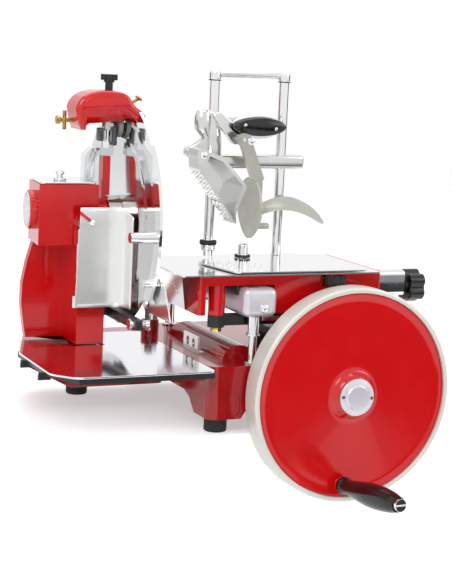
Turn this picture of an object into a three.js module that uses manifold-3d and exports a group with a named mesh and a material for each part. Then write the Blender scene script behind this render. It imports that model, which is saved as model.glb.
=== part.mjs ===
// A hand-cranked flywheel meat slicer. Millimetres, +Z up, z = 0 on the bench under the feet.
// +Y is the carriage's travel, away from the flywheel; +X runs along the feed screw to its knob.
import * as THREE from "three";
import { mergeVertices } from "three/addons/utils/BufferGeometryUtils.js";
import Module from "manifold-3d";

const wasm = await Module();
wasm.setup();

// Fits shared by the whole machine
const gap = 0.3; // between pieces that touch or run on each other
const over = 2; // how far a cutter passes the face that it cuts
const weld = 0.0001; // vertices closer than this are one vertex
const cornerShare = 0.476; // how much of a side a rounded corner may take
const facets = { large: 60, round: 24, small: 16, tiny: 10, spike: 4, corner: 3 };

// Base casting, seen from above its outline is a rectangle with a ledge for the pedestal
const base = { width: 254, depth: 316, bottom: 20, top: 92, wall: 8, roof: 8, corner: 14 };
const leg = { width: 47, depth: 50, solid: 30 };
const sideArch = { rise: 24, front: 50, back: 61, slope: 18, ramp: 107 };
const frontArch = { rise: 15, slope: 10 };
const legPanel = { width: 20, height: 32, inset: 25, depth: 2, above: 4, corner: 7 };
const ledge = { width: 208, front: 10, back: 150, top: 89, root: 34, tip: 72, slope: 73, wall: 9, slant: 46 };
const ridge = { x: -68, width: 50, height: 20, front: -118, back: 78, slope: 16 };
const boss = { x: -113.3, y: 97, radius: 13, height: 18 };
const foot = { radius: 15.5, taper: 1.5, inX: 21, inY: 24 };
// The rear left foot stands out under the ledge, below the pedestal's weight.
const ledgeFoot = { in: 119, ahead: 32, pad: 3 };
const nut = { radius: 11, sides: 6, height: 12, stud: 5, studHeight: 15 };
const slotPlate = { x: -112, y: -53, width: 50, height: 24, thickness: 3, foot: 11 };
const slotHole = { half: 5, tall: 13, at: 10 };

// Flywheel and its shaft
const wheel = { x: 69, z: 52, clear: 5, discRadius: 140, rimRadius: 147, rimWidth: 35, proud: 3 };
const web = { thickness: 8, dish: 5, dishWidth: 10, hubRadius: 29, hubTop: 25.7, hubHeight: 8 };
const rimEdge = { chamfer: 1.6, lip: 6.7 };
const cap = { radius: 25.5, height: 4, domeRadius: 17.5, domeTop: 15.8, domeHeight: 2.5 };
const capScrew = { radius: 2.2, at: 21.5 };
const shaft = { radius: 10 };
const bevel = { outer: 22, inner: 12, apart: 0.4, teeth: 18, tooth: 2.4 };
const helical = { wheel: 21.7, crank: 38.7, width: 16, teeth: 20, crankTeeth: 36, tooth: 2.2 };
const bearing = { thickness: 12, half: 13, drop: 12 };

// Crank handle on the wheel's face; its pin leans a little towards the right and up
const pin = { x: -13, z: -122, leanX: 0.085, leanZ: 0.075, radius: 5, bossRadius: 9.5, bossHeight: 8 };
const grip = { length: 128, flange: 12, neck: 10, belly: 16.5, tip: 10.5 };
const gripShares = { flange: 0.05, neck: 0.1, waist: 0.3, belly: 0.55, fall: 0.8, tip: 0.93 };
const gripFullShares = { fall: 0.95, tip: 0.82 };
const gripScrew = { radius: 8.5, height: 6, slot: 1.6, slotDepth: 1.5 };

// Cross shaft and chain up to the blade
const cross = { y: 58, radius: 7, left: -250, bearingX: 10 };
const chain = { x: -240, sprocket: 13.5, width: 5, thickness: 3.6, chainWidth: 7, teeth: 14 };

// Blade, its hub and the guard at its front edge
const blade = { y: 58, above: 26.5, radius: 150, x: -183.5, edge: 0.5, bevel: 13, body: 112, dish: 3 };
const bladeHub = { radius: 30, left: -205, shaft: 9, shaftLeft: -291 };
const guard = { clear: 1.6, width: 18.5, thickness: 4, x: -183.6, topAngle: 62, footAngle: 38 };
const stud = { angle: 3, length: 38, radius: 9, tip: 6.8, end: 3 };
const guardPlate = { x: -179.3, thickness: 2, above: 3, below: 44, front: 53, wide: 111 };
const guardBolt = { angle: 26.6, radius: 5.5, left: 10, right: 2.4 };
const slidePin = { behind: 28, below: 60, radius: 5, head: 8, length: 24, headThickness: 3, tab: 9 };
const arm = { left: -199, right: -189, ahead: 9, width: 16, half: 7 };

// Red pedestal, its cap and dial; the box's left wall leans in towards the back
const tower = { left: -311, right: -226, front: 20, back: 96, taper: 9.3 };
const towerHeight = { aboveBlade: 48.5, floorBelow: 25.5, floor: 9 };
const column = { left: -253, right: -213, wall: 6, slotLeft: -248, slotRight: -234, slotFront: 38 };
const rearPanel = { left: -297, bulge: -313, thickness: 12 };
const bulgeShares = [
  [0.56, 0],
  [0.75, 0.13],
  [1, 0.35],
  [0.94, 0.56],
  [0.56, 0.78],
  [0, 1],
];
const bladeBoss = { radius: 26, right: -206 };
const post = { left: -211, right: -200, half: 8, above: 37 };
const plate = { inset: 2, thickness: 3, corner: 6 };
const oil = { x: -275, y: 44, base: 9, baseHeight: 3, knob: 6, height: 13, waist: 4 };
const dial = { y: 58, up: 10.5, radius: 27, face: 24.5, drum: 8.5, faceDepth: 1.5, spindle: 6, reach: 10 };

// Slice deflector on its upright pin
const deflector = { bottom: 143, up: 17.5, thickness: 2, left: -245, flange: -258, flangeTop: 153 };
const deflectorPath = { flatEnd: -225, flatY: 14, rightX: -190, rightY: -22, tipX: -187.5 };
const hingePin = { x: -252, y: 12, radius: 3.5, knuckle: 6, lug: 8, lower: 160, down: 7.5, ends: 5 };
const latch = { length: 15, drop: 11 };
const notchShares = [
  [0, 0],
  [0.8, 0.23],
  [1, 0.46],
  [0, 0.77],
];

// Receiving tray and the black frame under it
const tray = { beyond: 9, front: -180, back: 103, thickness: 2.5, corner: 9 };
const trayCut = { side: 1, front: 6 };
const trayShares = [
  [0, 0],
  [0.88, 0],
  [1, 0.106],
  [1, 0.587],
  [0.866, 0.936],
  [0.774, 1],
  [0, 1],
];
const frame = { width: 10, height: 8, inset: 5, slant: 25 };
const trayLug = { width: 14, drop: 7, front: -100, rear: -22 };

// Sharpener over the blade
const elbow = { left: -238, right: -223, half: 8, under: 18, thickness: 10, bend: 16, reach: -196 };
const spindle = { x: -203, y: 58, radius: 5, below: 4, collar: 9, collarHeight: 9 };
const cover = { left: -259, right: -154, front: 33, back: 83, over: 18.5, height: 54, wall: 3.6 };
const coverShares = [
  [0, 0.81],
  [0.05, 0],
  [0.14, 0],
  [0.15, 0.19],
  [0.66, 0.26],
  [0.68, 0.37],
  [0.98, 0.3],
  [1, 0.37],
  [0.92, 0.6],
  [0.75, 0.91],
  [0.37, 1],
  [0.06, 0.87],
];
const hollowShares = [
  [0.05, 0.78],
  [0.12, -0.1],
  [0.96, -0.1],
  [0.94, 0.42],
  [0.9, 0.53],
  [0.75, 0.82],
  [0.37, 0.92],
  [0.09, 0.82],
];
const bladeSlot = { left: 4.5, right: 6, over: 7.5 };
const stone = { radius: 15, thickness: 6, y: 52, down: 23.5, spindle: 3, side: 3.4 };
const hook = { y: 58, width: 10, over: 8.5, thickness: 4 };
const hookShares = [
  [0, 0.81],
  [0, 1],
  [0.39, 1],
  [0.74, 0.93],
  [1, 0.66],
];
const hookUnderShares = { leg: 0.6, corner: 0.68, root: 0.81 };
const clampKnob = { radius: 12, height: 8, neck: 21, stem: 5.5, flange: 7.5, rim: 3 };
const clampFlutes = { count: 12, depth: 1.5 };
const plunger = { down: 16.5, radius: 3, length: 26, head: 5.5, headLength: 6 };
const plungerBar = { radius: 2.6, length: 26, at: 7 };

// Guide bar, side rail and their posts
const guide = { left: -81, right: -50, bottom: 160, top: 190 };
const guideHead = { right: -32, bottom: 156, top: 195 };
const guideRun = { inset: 2, headDepth: 26, insetBack: 8, corner: 8, slot: 9, slotDepth: 4 };
const guidePost = { x: -61, inset: 15, radius: 8, low: 5.5 };
const postCollar = { radius: 9.5, at: 38, thickness: 3, flange: 11 };
const rearPost = { x: -65, inset: 18, radius: 8 };
const rail = { inset: 6, width: 12, bottom: 145, top: 157, insetEnd: 10, postRadius: 5, postInset: 18 };

// Carriage, table and what hangs from it
const stroke = { radius: 90 };
const yoke = { y: -120, half: 11, bottom: 142, top: 155, right: 110, bossX: -105.5, boss: 11.5, under: 3 };
const yokeSlot = { half: 6.5, reach: 8, depth: 8 };
const crank = { x: 8, shaft: 8, boss: 18, armBottom: 116, armTop: 126, hub: 14, eye: 9, pin: 6, base: 36 };
const carriage = { left: -140, right: 132, front: -140, back: 20, bottom: 158, top: 212.7, wall: 8 };
const carriageRoof = { thickness: 7.7, padHalf: 18.5, mouth: 197, mouthRight: -30, rearHalf: 25 };
const table = { left: -172.5, right: 119, front: -162, back: 15, thickness: 2, corner: 3 };
const apron = { thickness: 1.6, topFront: -157, lowFront: -98, out: 1 };
const apronSlot = { y: -104, halfHeight: 8, half: 3 };
const apronSlotShare = 0.55; // its height between the apron's lower and upper edges
const block = { length: 42, half: 13, bottom: 176, top: 211, corner: 6 };
const screw = { y: -120, z: 188, radius: 6, left: -38, short: 1.5 };
const starKnob = { radius: 23.5, length: 29, lobes: 5, depth: 5, neck: 11, neckLength: 6 };
const thumb = { x: 57.5, y: -147, radius: 14.5, bottom: 196, top: 210, ribs: 20, rib: 1, spindle: 4 };
const thumbRoom = { around: 2, above: 0.5 };
const thumbLug = { half: 13, thickness: 2, proud: 18 };

// Feed plate with its posts
const feed = { under: 1, thickness: 2, travel: 60, corner: 8 };
const feedNut = { x: 68, half: 12, width: 18, room: 0.6, under: 2 };
const feedOutline = { left: -111, right: 101, front: -160, back: 7 };
const feedShares = [
  [0.07, 0.01],
  [0, 0.6],
  [0.3, 0.97],
  [0.85, 1],
  [1, 0.62],
  [1, 0],
];
const spike = { radius: 1.7, height: 6, rows: 4, each: 6 };
const spikePlace = { inX: 26, inY: 14, pitchX: 13, pitchY: 14, slant: 13 };
const rod = { y: -9, leftX: -73, rightX: 33, radius: 7.35, top: 462 };
const topBar = { half: 9, height: 13, mid: 6, midHeight: 9 };
const bumper = { radius: 11.5, thickness: 4, collar: 9.6, collarBottom: 228, collarTop: 236 };
const button = { x: -30, y: -32, radius: 7.5, height: 16, ring: 10, ringHeight: 4, dome: 2 };

// Press that slides on the posts
const sleeve = { radius: 12.5, bottom: 352, top: 421 };
const bar = { left: -66, right: 66, bottom: 341, top: 360, half: 10, corner: 5 };
const brace = { bottom: 395, top: 413, right: 8, front: -21, back: -15 };
const grasp = { x: -13, z: 400.5, halfX: 39.5, halfZ: 13.5, front: -40, back: -25.5, edge: 2, rim: 2.5 };
const graspShares = { back: 0.94, full: 1, shoulder: 0.9, front: 0.72 };
const fin = { left: -101, top: 421, waist: -88, bottom: 356, front: -17, back: -3 };
const strut = { x: -72, z: 415, width: 9, front: -25.2, back: -21.8, endHalf: 8 };
const claw = { x: -106, z: 362, front: -58, back: -22.2, wall: 3.5, lug: 9, pin: 3.2 };
const clawOutline = { width: 76, height: 104 };
const clawShares = [
  [0, 1],
  [0.49, 0.9],
  [1, 0.51],
  [0.8, 0.17],
  [0.81, 0],
  [0.04, 0.72],
];
const tooth = { radius: 1.6, height: 4.5, count: 10, rows: 3 };
const toothShares = { row: 0.5, first: 0.7, ends: 0.4, root: 0.5 };
const lever = { x: -42, z: 383, front: -48, back: -40.3, pin: 3.2, head: 6, width: 19 };
const leverShares = [
  [-0.5, 0.12],
  [0.4, 0.15],
  [0.9, -0.28],
  [1.75, -1],
  [0.75, -1],
];
const leverDrop = 55;
const disc = { x: -24, thickness: 4, y: -32, z: 288, halfY: 38, halfZ: 43, web: 30.4 };
const discPointShare = 0.35;
const spoon = { startX: -19.7, endX: 92, y: -36, z: 272, rise: 24, drop: 12 };
const spoonPlate = { width: 18, thickness: 3.4, steps: 8 };
const archShares = { start: 0.05, run: 0.9 };
const spoonWidthShares = { least: 0.3, start: 0.1, run: 0.72, tipFrom: 0.95, tip: 0.6 };

// Points on lines that several pieces share
const baseLeft = -base.width / 2;
const baseRight = base.width / 2;
const baseFront = -base.depth / 2;
const baseBack = base.depth / 2;
const rimBack = baseFront - wheel.clear;
const wheelFront = rimBack - wheel.rimWidth + wheel.proud;
const ledgeLeft = baseLeft - ledge.width;
const trayLeft = ledgeLeft - tray.beyond;
const bladeZ = ledge.top + blade.above + blade.radius;
const bladeTop = bladeZ + blade.radius;
const guardInner = blade.radius + guard.clear;
const guardOuter = guardInner + guard.width;
const [boltY, boltZ] = arcPoint((guardInner + guardOuter) / 2, -guardBolt.angle);
const slidePinY = boltY + slidePin.behind;
const slidePinZ = boltZ - slidePin.below;
const towerTop = bladeZ + towerHeight.aboveBlade;
const towerFloor = bladeZ - towerHeight.floorBelow;
const towerUnder = towerFloor - towerHeight.floor;
const dialZ = bladeZ + dial.up;
const deflectorTop = bladeZ + deflector.up;
const upperLug = bladeZ - hingePin.down;
const coverTop = bladeTop + cover.over;
const coverBottom = coverTop - cover.height;
const elbowTop = coverBottom - elbow.under;
const spindleTop = coverTop - spindle.below;
const stoneZ = bladeTop - stone.down;
const leftStone = blade.x - stone.side - stone.thickness;
const rightStone = blade.x + stone.side;
const rearStoneY = 2 * hook.y - stone.y;
const hookTop = bladeTop + hook.over;
const plungerZ = bladeTop - plunger.down;
const guideFront = baseFront + guideRun.inset;
const guideBack = baseBack - guideRun.insetBack;
const guidePostY = baseFront + guidePost.inset;
const rearPostY = baseBack - rearPost.inset;
const railRight = carriage.right - rail.inset;
const railLeft = railRight - rail.width;
const crankY = yoke.y + stroke.radius;
const tableTop = carriage.top + gap + table.thickness;
const nutRoom = feedNut.width / 2 + feedNut.room;
const feedBottom = tableTop + feed.under;
const feedTop = feedBottom + feed.thickness;

// Shape helpers

function bareCopy(geometry) {
  const copy = geometry.index ? geometry.toNonIndexed() : geometry.clone();
  for (const name of Object.keys(copy.attributes)) {
    if (name !== "position") copy.deleteAttribute(name);
  }
  return copy;
}

// A closed surface whose faces point in is turned inside out.
function outward(geometry) {
  const p = geometry.attributes.position;
  const corners = [new THREE.Vector3(), new THREE.Vector3(), new THREE.Vector3()];
  let volume = 0;
  for (let i = 0; i < p.count; i += corners.length) {
    corners.forEach((corner, k) => corner.fromBufferAttribute(p, i + k));
    volume += corners[0].dot(corners[1].clone().cross(corners[2]));
  }
  if (volume >= 0) return geometry;
  for (let i = 0; i < p.count; i += corners.length) {
    const second = corners[1].fromBufferAttribute(p, i + 1).toArray();
    const third = corners[2].fromBufferAttribute(p, i + 2).toArray();
    p.setXYZ(i + 1, ...third);
    p.setXYZ(i + 2, ...second);
  }
  return geometry;
}

function solid(shape) {
  if (!shape.isBufferGeometry) return shape;
  const merged = mergeVertices(outward(bareCopy(shape)), weld);
  return new wasm.Manifold(
    new wasm.Mesh({
      numProp: 3,
      vertProperties: merged.attributes.position.array,
      triVerts: new Uint32Array(merged.index.array),
    }),
  );
}

function join(first, ...others) {
  return others.reduce((whole, other) => whole.add(solid(other)), solid(first));
}

function cut(first, ...tools) {
  return tools.reduce((rest, tool) => rest.subtract(solid(tool)), solid(first));
}

function geometryOf(shape) {
  const body = solid(shape).getMesh();
  const geometry = new THREE.BufferGeometry();
  geometry.setAttribute("position", new THREE.BufferAttribute(body.vertProperties.slice(), 3));
  geometry.setIndex(new THREE.BufferAttribute(body.triVerts.slice(), 1));
  geometry.computeVertexNormals();
  return geometry;
}

function box(x0, x1, y0, y1, z0, z1) {
  const geometry = new THREE.BoxGeometry(x1 - x0, y1 - y0, z1 - z0);
  return geometry.translate((x0 + x1) / 2, (y0 + y1) / 2, (z0 + z1) / 2);
}

// Turns a shape made about +Y so that its axis is X, Y or Z, and moves it onto its centre line.
function alongAxis(geometry, axis, u, v) {
  if (axis === "x") return geometry.rotateZ(-Math.PI / 2).translate(0, u, v);
  if (axis === "z") return geometry.rotateX(Math.PI / 2).translate(u, v, 0);
  return geometry.translate(u, 0, v);
}

// Profile points are [radius, place along the axis]; u and v are the axis's other two places.
function turned(axis, u, v, profile, sides = facets.round) {
  const points = profile.map(([radius, along]) => new THREE.Vector2(radius, along));
  return alongAxis(new THREE.LatheGeometry(points, sides), axis, u, v);
}

function cylinder(axis, u, v, radius, from, to, sides = facets.round) {
  const profile = [
    [0, from],
    [radius, from],
    [radius, to],
    [0, to],
  ];
  return turned(axis, u, v, profile, sides);
}

function roundedShape(points, radius) {
  const shape = new THREE.Shape();
  const count = points.length;
  points.forEach(([x, y], i) => {
    const corner = new THREE.Vector2(x, y);
    const before = new THREE.Vector2(...points[(i + count - 1) % count]).sub(corner);
    const after = new THREE.Vector2(...points[(i + 1) % count]).sub(corner);
    const reach = Math.min(radius, before.length() * cornerShare, after.length() * cornerShare);
    const start = corner.clone().add(before.setLength(reach));
    const end = corner.clone().add(after.setLength(reach));
    if (i === 0) shape.moveTo(start.x, start.y);
    else shape.lineTo(start.x, start.y);
    shape.quadraticCurveTo(x, y, end.x, end.y);
  });
  shape.closePath();
  return shape;
}

function plainShape(points) {
  return new THREE.Shape(points.map(([x, y]) => new THREE.Vector2(x, y)));
}

// An outline is given as [y, z] along X, [x, z] along Y or [x, y] along Z.
function prism(axis, outline, from, to, radius = 0) {
  const shape = radius > 0 ? roundedShape(outline, radius) : plainShape(outline);
  const options = { depth: to - from, bevelEnabled: false, curveSegments: facets.corner };
  const geometry = bareCopy(new THREE.ExtrudeGeometry(shape, options).translate(0, 0, from));
  const [ux, uy, uz] = [
    new THREE.Vector3(1, 0, 0),
    new THREE.Vector3(0, 1, 0),
    new THREE.Vector3(0, 0, 1),
  ];
  const turn = new THREE.Matrix4();
  if (axis === "x") turn.makeBasis(uy, uz, ux);
  if (axis === "y") turn.makeBasis(ux, uz, uy);
  return outward(geometry.applyMatrix4(turn));
}

// Rings of [x, y, z] points, each with as many points as the first, skinned and capped.
function loft(rings) {
  const places = [];
  const count = rings[0].length;
  const triangle = (a, b, c) => places.push(...a, ...b, ...c);
  for (let r = 0; r + 1 < rings.length; r += 1) {
    for (let i = 0; i < count; i += 1) {
      const j = (i + 1) % count;
      triangle(rings[r][i], rings[r][j], rings[r + 1][j]);
      triangle(rings[r][i], rings[r + 1][j], rings[r + 1][i]);
    }
  }
  for (const [ring, flip] of [
    [rings[0], true],
    [rings[rings.length - 1], false],
  ]) {
    for (let i = 1; i + 1 < count; i += 1) {
      if (flip) triangle(ring[0], ring[i + 1], ring[i]);
      else triangle(ring[0], ring[i], ring[i + 1]);
    }
  }
  const geometry = new THREE.BufferGeometry();
  geometry.setAttribute("position", new THREE.Float32BufferAttribute(places, 3));
  return outward(geometry);
}

function fromShares(shares, x0, x1, y0, y1) {
  return shares.map(([u, v]) => [x0 + u * (x1 - x0), y0 + v * (y1 - y0)]);
}

// A ring of teeth cut into a wheel, so that none stands outside the wheel's own radius.
function toothedWheel(axis, u, v, radii, ends, teeth, depth) {
  const rings = ends.map((along, k) => {
    const ring = [];
    for (let i = 0; i < teeth * 4; i += 1) {
      const angle = (i * Math.PI) / (teeth * 2);
      const radius = i % 4 < 2 ? radii[k] : radii[k] - depth;
      ring.push([radius * Math.cos(angle), along, radius * Math.sin(angle)]);
    }
    return ring;
  });
  return alongAxis(loft(rings), axis, u, v);
}

// A round bar from one point to another.
function roundBar(from, to, radius, sides = facets.tiny, tipRadius = radius) {
  const start = new THREE.Vector3(...from);
  const run = new THREE.Vector3(...to).sub(start);
  const length = run.length();
  const turn = new THREE.Quaternion().setFromUnitVectors(new THREE.Vector3(0, 1, 0), run.normalize());
  const geometry = new THREE.CylinderGeometry(tipRadius, radius, length, sides);
  return geometry.translate(0, length / 2, 0).applyQuaternion(turn).translate(...from);
}

// Finishes

function finish(color, roughness, metalness) {
  return () => new THREE.MeshStandardMaterial({ color, roughness, metalness });
}

const redPaint = finish(0xb8141a, 0.25, 0);
const palePaint = finish(0xe6e2d6, 0.4, 0.2);
const chrome = finish(0xd9dadb, 0.12, 1);
const steel = finish(0xc4c4c2, 0.32, 1);
const aluminium = finish(0xc9c9c6, 0.4, 1);
const darkSteel = finish(0x5a5a5c, 0.45, 1);
const bronze = finish(0xa97d3c, 0.4, 1);
const black = finish(0x17171a, 0.45, 0);
const rubber = finish(0x141414, 0.85, 0);
const abrasive = finish(0x8c8a84, 0.9, 0);

const slicer = new THREE.Group();

// Groups hold the pieces that move together.
function movingGroup(name, parent = slicer) {
  const group = new THREE.Group();
  group.name = name;
  parent.add(group);
  return group;
}

function piece(group, name, shape, look) {
  const mesh = new THREE.Mesh(geometryOf(shape), look());
  mesh.name = name;
  group.add(mesh);
  return mesh;
}

// Base

function baseShell() {
  const outline = [
    [baseLeft, baseFront],
    [baseRight, baseFront],
    [baseRight, baseBack],
    [baseLeft, baseBack],
  ];
  const roofUnder = base.top - base.roof;
  const shell = prism("z", outline, base.bottom, base.top, base.corner);
  const hollow = box(
    baseLeft + base.wall,
    baseRight - base.wall,
    baseFront + base.wall,
    baseBack - base.wall,
    base.bottom - over,
    roofUnder,
  );
  const pads = [];
  for (const sx of [-1, 1]) {
    for (const sy of [-1, 1]) {
      const x = sx * (baseRight - base.wall / 2);
      const y = sy * (baseBack - base.wall / 2);
      const inX = x - sx * leg.solid;
      const inY = y - sy * leg.solid;
      pads.push(
        box(Math.min(x, inX), Math.max(x, inX), Math.min(y, inY), Math.max(y, inY), base.bottom, roofUnder),
      );
    }
  }
  return join(cut(shell, hollow), ...pads);
}

function sideArchCutter() {
  const low = base.bottom - over;
  const top = base.bottom + sideArch.rise;
  const start = baseFront + sideArch.front;
  const end = baseBack - sideArch.back;
  const outline = [
    [start, low],
    [start, base.bottom],
    [start + sideArch.slope, top - sideArch.rise / 4],
    [start + sideArch.slope * 2, top],
    [end - sideArch.ramp, top],
    [end, base.bottom],
    [end, low],
  ];
  return prism("x", outline, baseLeft - over, baseRight + over);
}

function frontArchCutter() {
  const low = base.bottom - over;
  const half = baseRight - leg.width;
  const outline = [
    [-half, low],
    [-half, base.bottom],
    [-half + frontArch.slope, base.bottom + frontArch.rise],
    [half - frontArch.slope, base.bottom + frontArch.rise],
    [half, base.bottom],
    [half, low],
  ];
  return prism("y", outline, baseFront - over, baseBack + over);
}

// The ledge's left side slants inwards towards the back.
function ledgeLeftAt(y) {
  return ledgeLeft + (ledge.slant * (y - ledge.front)) / (ledge.back - ledge.front);
}

function ledgeShape() {
  const sweep = [
    [ledgeLeft, ledge.top],
    [ledgeLeft, ledge.tip],
    [ledgeLeft + ledge.slope, ledge.root],
    [baseLeft + base.wall / 2, ledge.root],
    [baseLeft + base.wall / 2, ledge.top],
  ];
  const outline = [
    [ledgeLeft, ledge.front],
    [baseLeft + base.wall / 2, ledge.front],
    [baseLeft + base.wall / 2, ledge.back],
    [ledgeLeftAt(ledge.back), ledge.back],
  ];
  const body = solid(prism("y", sweep, ledge.front, ledge.back)).intersect(
    solid(prism("z", outline, base.bottom, base.top, base.corner)),
  );
  const y0 = ledge.front + ledge.wall;
  const y1 = ledge.back - ledge.wall;
  const inside = [
    [ledgeLeftAt(y0) + ledge.wall, y0],
    [baseLeft - ledge.wall, y0],
    [baseLeft - ledge.wall, y1],
    [ledgeLeftAt(y1) + ledge.wall, y1],
  ];
  return cut(body, prism("z", inside, base.bottom, ledge.top - base.roof));
}

// A long half-round rib on the base's top, cut away on a slope at its back.
function ridgeShape() {
  const outline = [];
  const steps = facets.tiny;
  for (let i = 0; i <= steps; i += 1) {
    const angle = (Math.PI * i) / steps;
    outline.push([
      ridge.x + (ridge.width / 2) * Math.cos(angle),
      base.top - over + (ridge.height + over) * Math.sin(angle),
    ]);
  }
  const body = prism("y", outline, ridge.front, ridge.back);
  const wedge = [
    [ridge.back - ridge.slope, base.top + ridge.height + over],
    [ridge.back + over, base.top + ridge.height + over],
    [ridge.back + over, base.top],
    [ridge.back, base.top],
  ];
  return cut(body, prism("x", wedge, ridge.x - ridge.width, ridge.x + ridge.width));
}

function baseCasting() {
  const roofUnder = base.top - base.roof;
  const mainBlock = box(
    wheel.x - bearing.half,
    wheel.x + bearing.half,
    crankY + helical.width + gap,
    crankY + helical.width + bearing.thickness,
    wheel.z - bearing.drop,
    base.top - base.roof / 2,
  );
  const crossBlock = box(
    cross.bearingX,
    cross.bearingX + bearing.thickness,
    cross.y - bearing.half,
    cross.y + bearing.half,
    wheel.z - bearing.drop,
    base.top - base.roof / 2,
  );
  const crankBoss = cylinder("z", crank.x, crankY, crank.boss, roofUnder - crank.boss, base.top + over);
  const adjuster = cylinder("z", boss.x, boss.y, boss.radius, base.top - over, base.top + boss.height);
  const footPad = cylinder(
    "z",
    ledgeLeft + ledgeFoot.in,
    ledge.back - ledgeFoot.ahead,
    foot.radius + ledgeFoot.pad,
    base.bottom,
    ledge.top - base.roof / 2,
  );
  const body = join(
    cut(baseShell(), sideArchCutter(), frontArchCutter()),
    ledgeShape(),
    ridgeShape(),
    mainBlock,
    crossBlock,
    crankBoss,
    adjuster,
    footPad,
  );
  const panelRight = baseLeft + legPanel.inset + legPanel.width;
  const panel = [
    [baseLeft + legPanel.inset, base.bottom + legPanel.above],
    [panelRight, base.bottom + legPanel.above],
    [panelRight, base.bottom + legPanel.above + legPanel.height],
    [baseLeft + legPanel.inset, base.bottom + legPanel.above + legPanel.height],
  ];
  return cut(
    body,
    prism("y", panel, baseFront - over, baseFront + legPanel.depth, legPanel.corner),
    cylinder("y", wheel.x, wheel.z, shaft.radius + gap, baseFront - over, crankY + helical.width * 2),
    cylinder("x", cross.y, wheel.z, cross.radius + gap, ledgeLeft + ledge.wall + over, baseRight / 2),
    cylinder("z", crank.x, crankY, crank.shaft + gap, base.bottom, base.top + over * 2),
    box(
      column.slotLeft,
      column.slotRight,
      column.slotFront,
      2 * cross.y - column.slotFront,
      base.bottom,
      base.top + over,
    ),
    cylinder("z", boss.x, boss.y, nut.stud + gap, base.top, base.top + boss.height + over, facets.small),
  );
}

function rubberFoot(x, y) {
  const profile = [
    [0, 0],
    [foot.radius - foot.taper, 0],
    [foot.radius, foot.taper],
    [foot.radius, base.bottom - gap],
    [0, base.bottom - gap],
  ];
  return turned("z", x, y, profile, facets.small);
}

function addFeet() {
  for (const [side, sx] of [
    ["left", -1],
    ["right", 1],
  ]) {
    for (const [end, sy] of [
      ["front", -1],
      ["rear", 1],
    ]) {
      const onLedge = sx < 0 && sy > 0;
      const x = onLedge ? ledgeLeft + ledgeFoot.in : sx * (baseRight - foot.inX);
      const y = onLedge ? ledge.back - ledgeFoot.ahead : sy * (baseBack - foot.inY);
      piece(slicer, `foot_${end}_${side}`, rubberFoot(x, y), rubber);
    }
  }
}

// Hexagonal nut with its stud reaching down into the red boss.
function adjusterNut() {
  const seat = base.top + boss.height + gap;
  return join(
    cylinder("z", boss.x, boss.y, nut.radius, seat, seat + nut.height, nut.sides),
    cylinder("z", boss.x, boss.y, nut.stud, seat - boss.height + over, seat + nut.studHeight, facets.small),
  );
}

function slottedPlate() {
  const seat = base.top + gap;
  const right = slotPlate.x + slotPlate.thickness;
  const y0 = slotPlate.y - slotPlate.width / 2;
  const y1 = slotPlate.y + slotPlate.width / 2;
  const upright = box(slotPlate.x, right, y0, y1, seat, seat + slotPlate.height);
  const flange = box(slotPlate.x, slotPlate.x + slotPlate.foot, y0, y1, seat, seat + slotPlate.thickness);
  const holes = [-1, 1].map((side) => {
    const y = slotPlate.y + side * slotHole.at;
    const z = seat + slotPlate.height / 2 + slotPlate.thickness / 2;
    const oval = [];
    for (let i = 0; i < facets.small; i += 1) {
      const angle = (2 * Math.PI * i) / facets.small;
      oval.push([y + slotHole.half * Math.cos(angle), z + (slotHole.tall / 2) * Math.sin(angle)]);
    }
    return prism("x", oval, slotPlate.x - over, right + over);
  });
  return cut(join(upright, flange), ...holes);
}

// Flywheel

function flywheelDisc() {
  const face = wheelFront;
  const back = face + web.thickness;
  const edge = wheel.discRadius;
  const profile = [
    [shaft.radius + gap, face - web.hubHeight],
    [web.hubTop, face - web.hubHeight],
    [web.hubRadius, face - web.hubHeight / 3],
    [web.hubRadius + web.dish, face + web.dish / 2],
    [edge - web.dishWidth, face + web.dish / 2],
    [edge - web.dishWidth / 3, face],
    [edge, face],
    [edge, back + web.dish],
    [edge - web.dishWidth, back],
    [web.hubRadius, back],
    [web.hubRadius, rimBack],
    [shaft.radius + gap, rimBack],
    [shaft.radius + gap, face - web.hubHeight],
  ];
  const seat = roundBar(handlePoint(-over), handlePoint(pin.bossHeight), pin.bossRadius, facets.round);
  const hole = roundBar(handlePoint(-web.thickness * 2), handlePoint(pin.bossHeight * 2), pin.radius + gap);
  return cut(join(turned("y", wheel.x, wheel.z, profile, facets.large), seat), hole);
}

function flywheelRim() {
  const front = wheelFront - wheel.proud;
  const inner = wheel.discRadius + gap;
  const profile = [
    [inner, front],
    [wheel.rimRadius - rimEdge.chamfer, front],
    [wheel.rimRadius, front + rimEdge.chamfer],
    [wheel.rimRadius, rimBack - rimEdge.chamfer],
    [wheel.rimRadius - rimEdge.chamfer, rimBack],
    [inner - rimEdge.lip, rimBack],
    [inner - rimEdge.lip, wheelFront + web.thickness + web.dish + gap],
    [inner, wheelFront + web.thickness + web.dish + gap],
    [inner, front],
  ];
  return turned("y", wheel.x, wheel.z, profile, facets.large);
}

function hubCap() {
  const seat = wheelFront - web.hubHeight - gap;
  const profile = [
    [0, seat],
    [cap.radius, seat],
    [cap.radius, seat - cap.height / 2],
    [cap.domeRadius, seat - cap.height],
    [cap.domeTop, seat - cap.height - cap.domeHeight],
    [0, seat - cap.height - cap.domeHeight],
  ];
  const heads = [-1, 1].map((side) =>
    cylinder(
      "y",
      wheel.x + side * capScrew.at,
      wheel.z,
      capScrew.radius,
      seat - cap.height - capScrew.radius / 2,
      seat - cap.height / 3,
      facets.tiny,
    ),
  );
  return join(turned("y", wheel.x, wheel.z, profile, facets.round), ...heads);
}

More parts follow.
